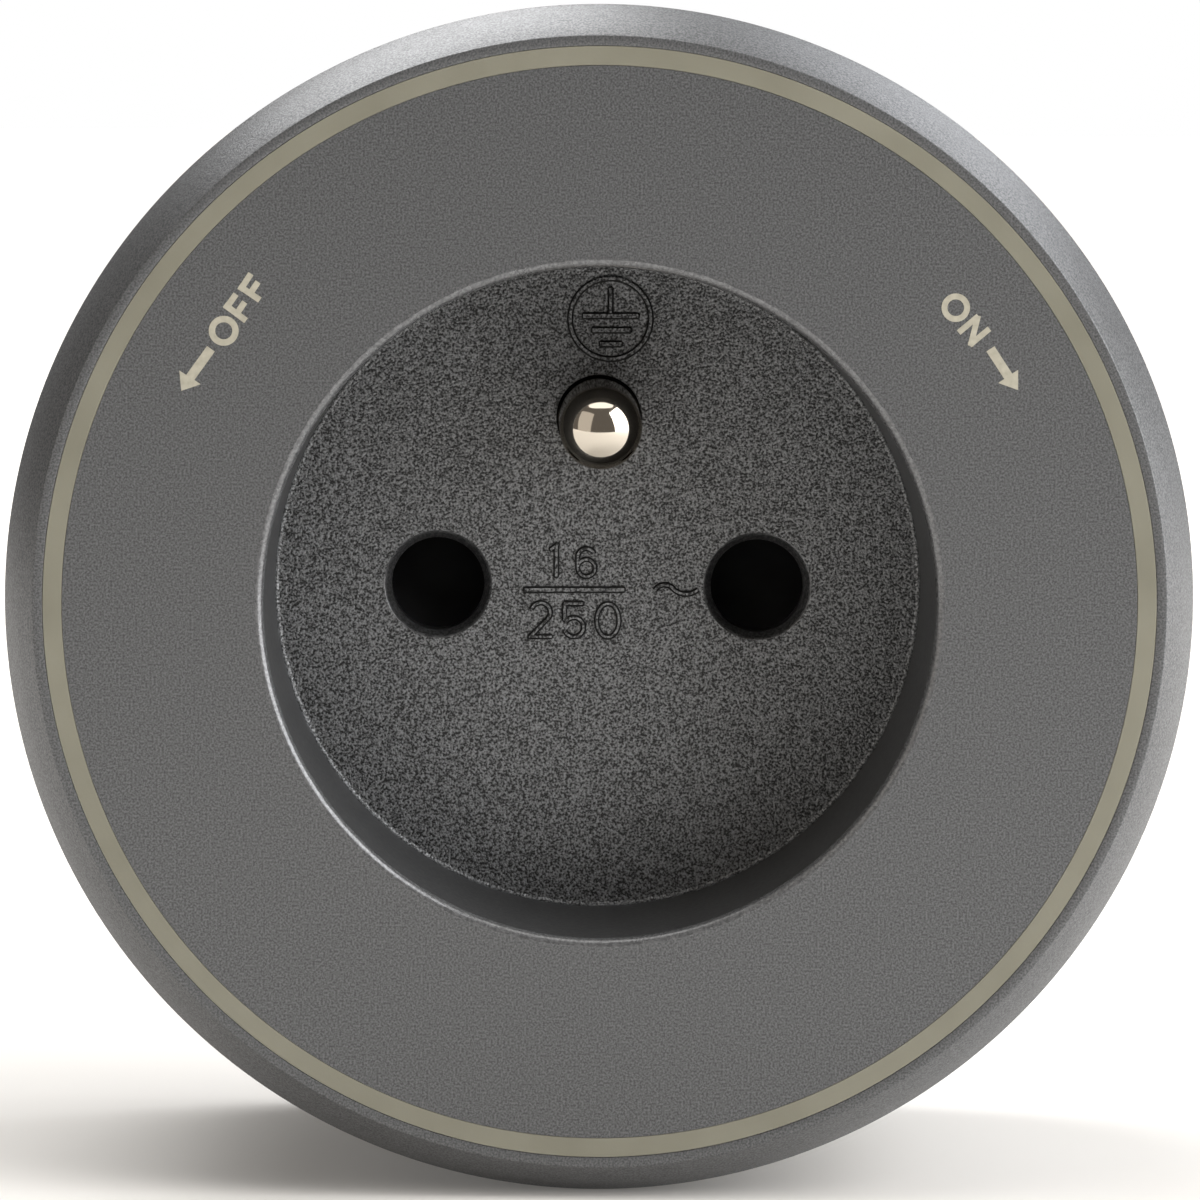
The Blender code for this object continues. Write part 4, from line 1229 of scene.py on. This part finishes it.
# Track foot: flange, neck and key in one black moulding, slotted for the blades.
# The flange is screwed inside the cover, and the key turns under the lips of the track.
flange_front = 0.0367
flange_rear = 0.0390
flange_half = 0.0130
flange_round = 0.0065
key_front = 0.0500
key_rear = 0.0561
key_half = 0.0150
key_round = neck_radius - 0.00001
neck_front = flange_front + 0.001
neck_rear = key_front + 0.003
foot_edge = 0.00012
foot_pitch = 0.0006
blade_rear = key_rear - 0.0016
blade_front = blade_rear - blade_thickness
blade_span = (-blade_width / 2 - fit_gap, blade_width / 2 + fit_gap)
channel_step = 0.0005
earth_blade_offset = 0.0036
earth_blade_thickness = 0.0008
earth_blade_half = 0.0019
earth_span = (-earth_blade_half - fit_gap, earth_blade_half + fit_gap)
groove_bottom = earth_blade_offset - fit_gap
groove_top = earth_blade_offset + earth_blade_thickness + fit_gap
groove_reach = 0.01
cap_shank = 0.00125
cap_front = key_rear + fit_gap
cap_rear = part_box("foot_cap")[1].y - front_y
cap_head = 0.0026
cap_head_height = 0.0007
cap_seat = cap_rear - cap_head_height
cap_screw_length = 0.008
cap_hole_front = cap_seat - cap_screw_length - 0.001


def round_ended(half_length, radius):
    """The outline of an upright round-ended bar."""
    straight = half_length - radius
    return arc((0, straight), radius, 0, 180, 24) + arc((0, -straight), radius, 180, 360, 24)


foot = cut_plate(round_ended(flange_half, flange_round), flange_front, flange_rear)
join(foot, rod(neck_radius, neck_front, neck_rear, (0, 0), 96))
join(foot, cut_plate(round_ended(key_half, key_round), key_front, key_rear))
for side in (-1, 1):
    inner, outer = blade_offset - fit_gap, blade_offset + blade_thickness + fit_gap
    cut(foot, block(blade_span, (0, beyond), sorted((side * inner, side * outer))))
    cut(foot, block(blade_span, (blade_front - fit_gap, beyond),
                    sorted((side * (inner + channel_step), side * 2 * key_half))))
    cut(foot, rod(foot_shank, 0, cover_front, (0, side * foot_screw_z), 40))
cut(foot, block((groove_bottom, groove_top), (0, cover_front), earth_span))
cut(foot, block((groove_bottom, groove_reach), (flange_rear, key_front), earth_span))
bore(foot, cap_shank, (0, 0), cap_hole_front, 40)
foot.name = "moulded_foot"
soften(foot, foot_edge)
fit(foot, "track_foot", grained_black)

foot_screw = make_screw("flange_screw_1", (0, foot_screw_z), foot_seat, foot_shank, foot_head,
                        foot_head_height, foot_seat - flange_front, foot_pitch)
twin_screw = copy_piece(foot_screw, "flange_screw_2",
                        Matrix.Translation((0, 0, -2 * foot_screw_z)))
fit(foot_screw, "foot_screw_1", zinc_steel)
fit(twin_screw, "foot_screw_2", zinc_steel)


# Blades: rolled copper strips that bring live and neutral to the ends of the key.
# A third one, bowed out of a groove in the neck, touches the earthed lip of the track.
blade_start = 0.0353
blade_bend = 0.0004
blade_edge = 0.00010
blade_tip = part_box("live_blade")[1].z
tip_corner = 0.0003
outer_round = blade_thickness + blade_bend
inner_bend = (blade_front - blade_bend, blade_offset + outer_round)
blade_path = [
    (blade_start, blade_offset),
    *arc(inner_bend, outer_round, -90, 0, 8),
    (blade_rear - tip_corner, blade_tip),
    (blade_front + tip_corner, blade_tip),
    *arc(inner_bend, blade_bend, 0, -90, 6),
    (blade_start, blade_offset + blade_thickness),
]
copper = new_material("rolled_copper", {"Metallic": 1, "IOR": 1.5})
add_mottle(copper, 0.002, (0.70, 0.36, 0.22), (0.80, 0.47, 0.31))
add_gloss_change(copper, 0.001, 0.18, 0.34)
add_grain(copper, 0.0004, 0.000003, 3, (1, 0.1, 1))
for name, side in (("live_blade", 1), ("neutral_blade", -1)):
    blade = cut_plate([(depth, side * z) for depth, z in blade_path],
                      -blade_width / 2, blade_width / 2, "X")
    blade.name = "rolled_" + name
    soften(blade, blade_edge)
    fit(blade, name, copper)

earth_start = 0.0364
earth_edge = 0.00008
bow = 0.0012
bow_start, bow_end = cover_rear, key_front - fit_gap
bow_steps = 16
bow_path = [(earth_blade_offset, earth_start)]
for step in range(bow_steps + 1):
    share = step / bow_steps
    bow_path.append((earth_blade_offset + math.sin(math.pi * share) * bow,
                     bow_start + (bow_end - bow_start) * share))
bow_back = [(x + earth_blade_thickness, depth) for x, depth in reversed(bow_path)]
earth_blade = cut_plate(bow_path + bow_back, -earth_blade_half, earth_blade_half, "Z")
earth_blade.name = "bowed_earth_blade"
soften(earth_blade, earth_edge)
fit(earth_blade, "earth_blade", copper)


# Foot cap: a black plate that closes the blade channels, with a rib pressing on each blade.
# One screw at its centre holds it to the key.
cap_edge = 0.00010
rib_rear = cap_rear - 0.0006
cap_pitch = 0.0009
cap = cut_plate(round_ended(key_half, neck_radius), cap_front, cap_rear)
for side in (-1, 1):
    rib = sorted((side * (blade_offset + blade_thickness), side * (key_half - neck_radius)))
    join(cap, block((-blade_width / 2, blade_width / 2),
                    (blade_rear + seam, rib_rear), rib))
bore(cap, cap_shank + fit_gap, (0, 0), segments=40)
bore(cap, cap_head + fit_gap, (0, 0), cap_seat - seam, 64)
cap.name = "moulded_cap"
soften(cap, cap_edge)
fit(cap, "foot_cap", grained_black)
cap_screw = make_screw("cap_fixing", (0, 0), cap_seat, cap_shank, cap_head, cap_head_height,
                       cap_screw_length, cap_pitch)
fit(cap_screw, "cap_screw", zinc_steel)
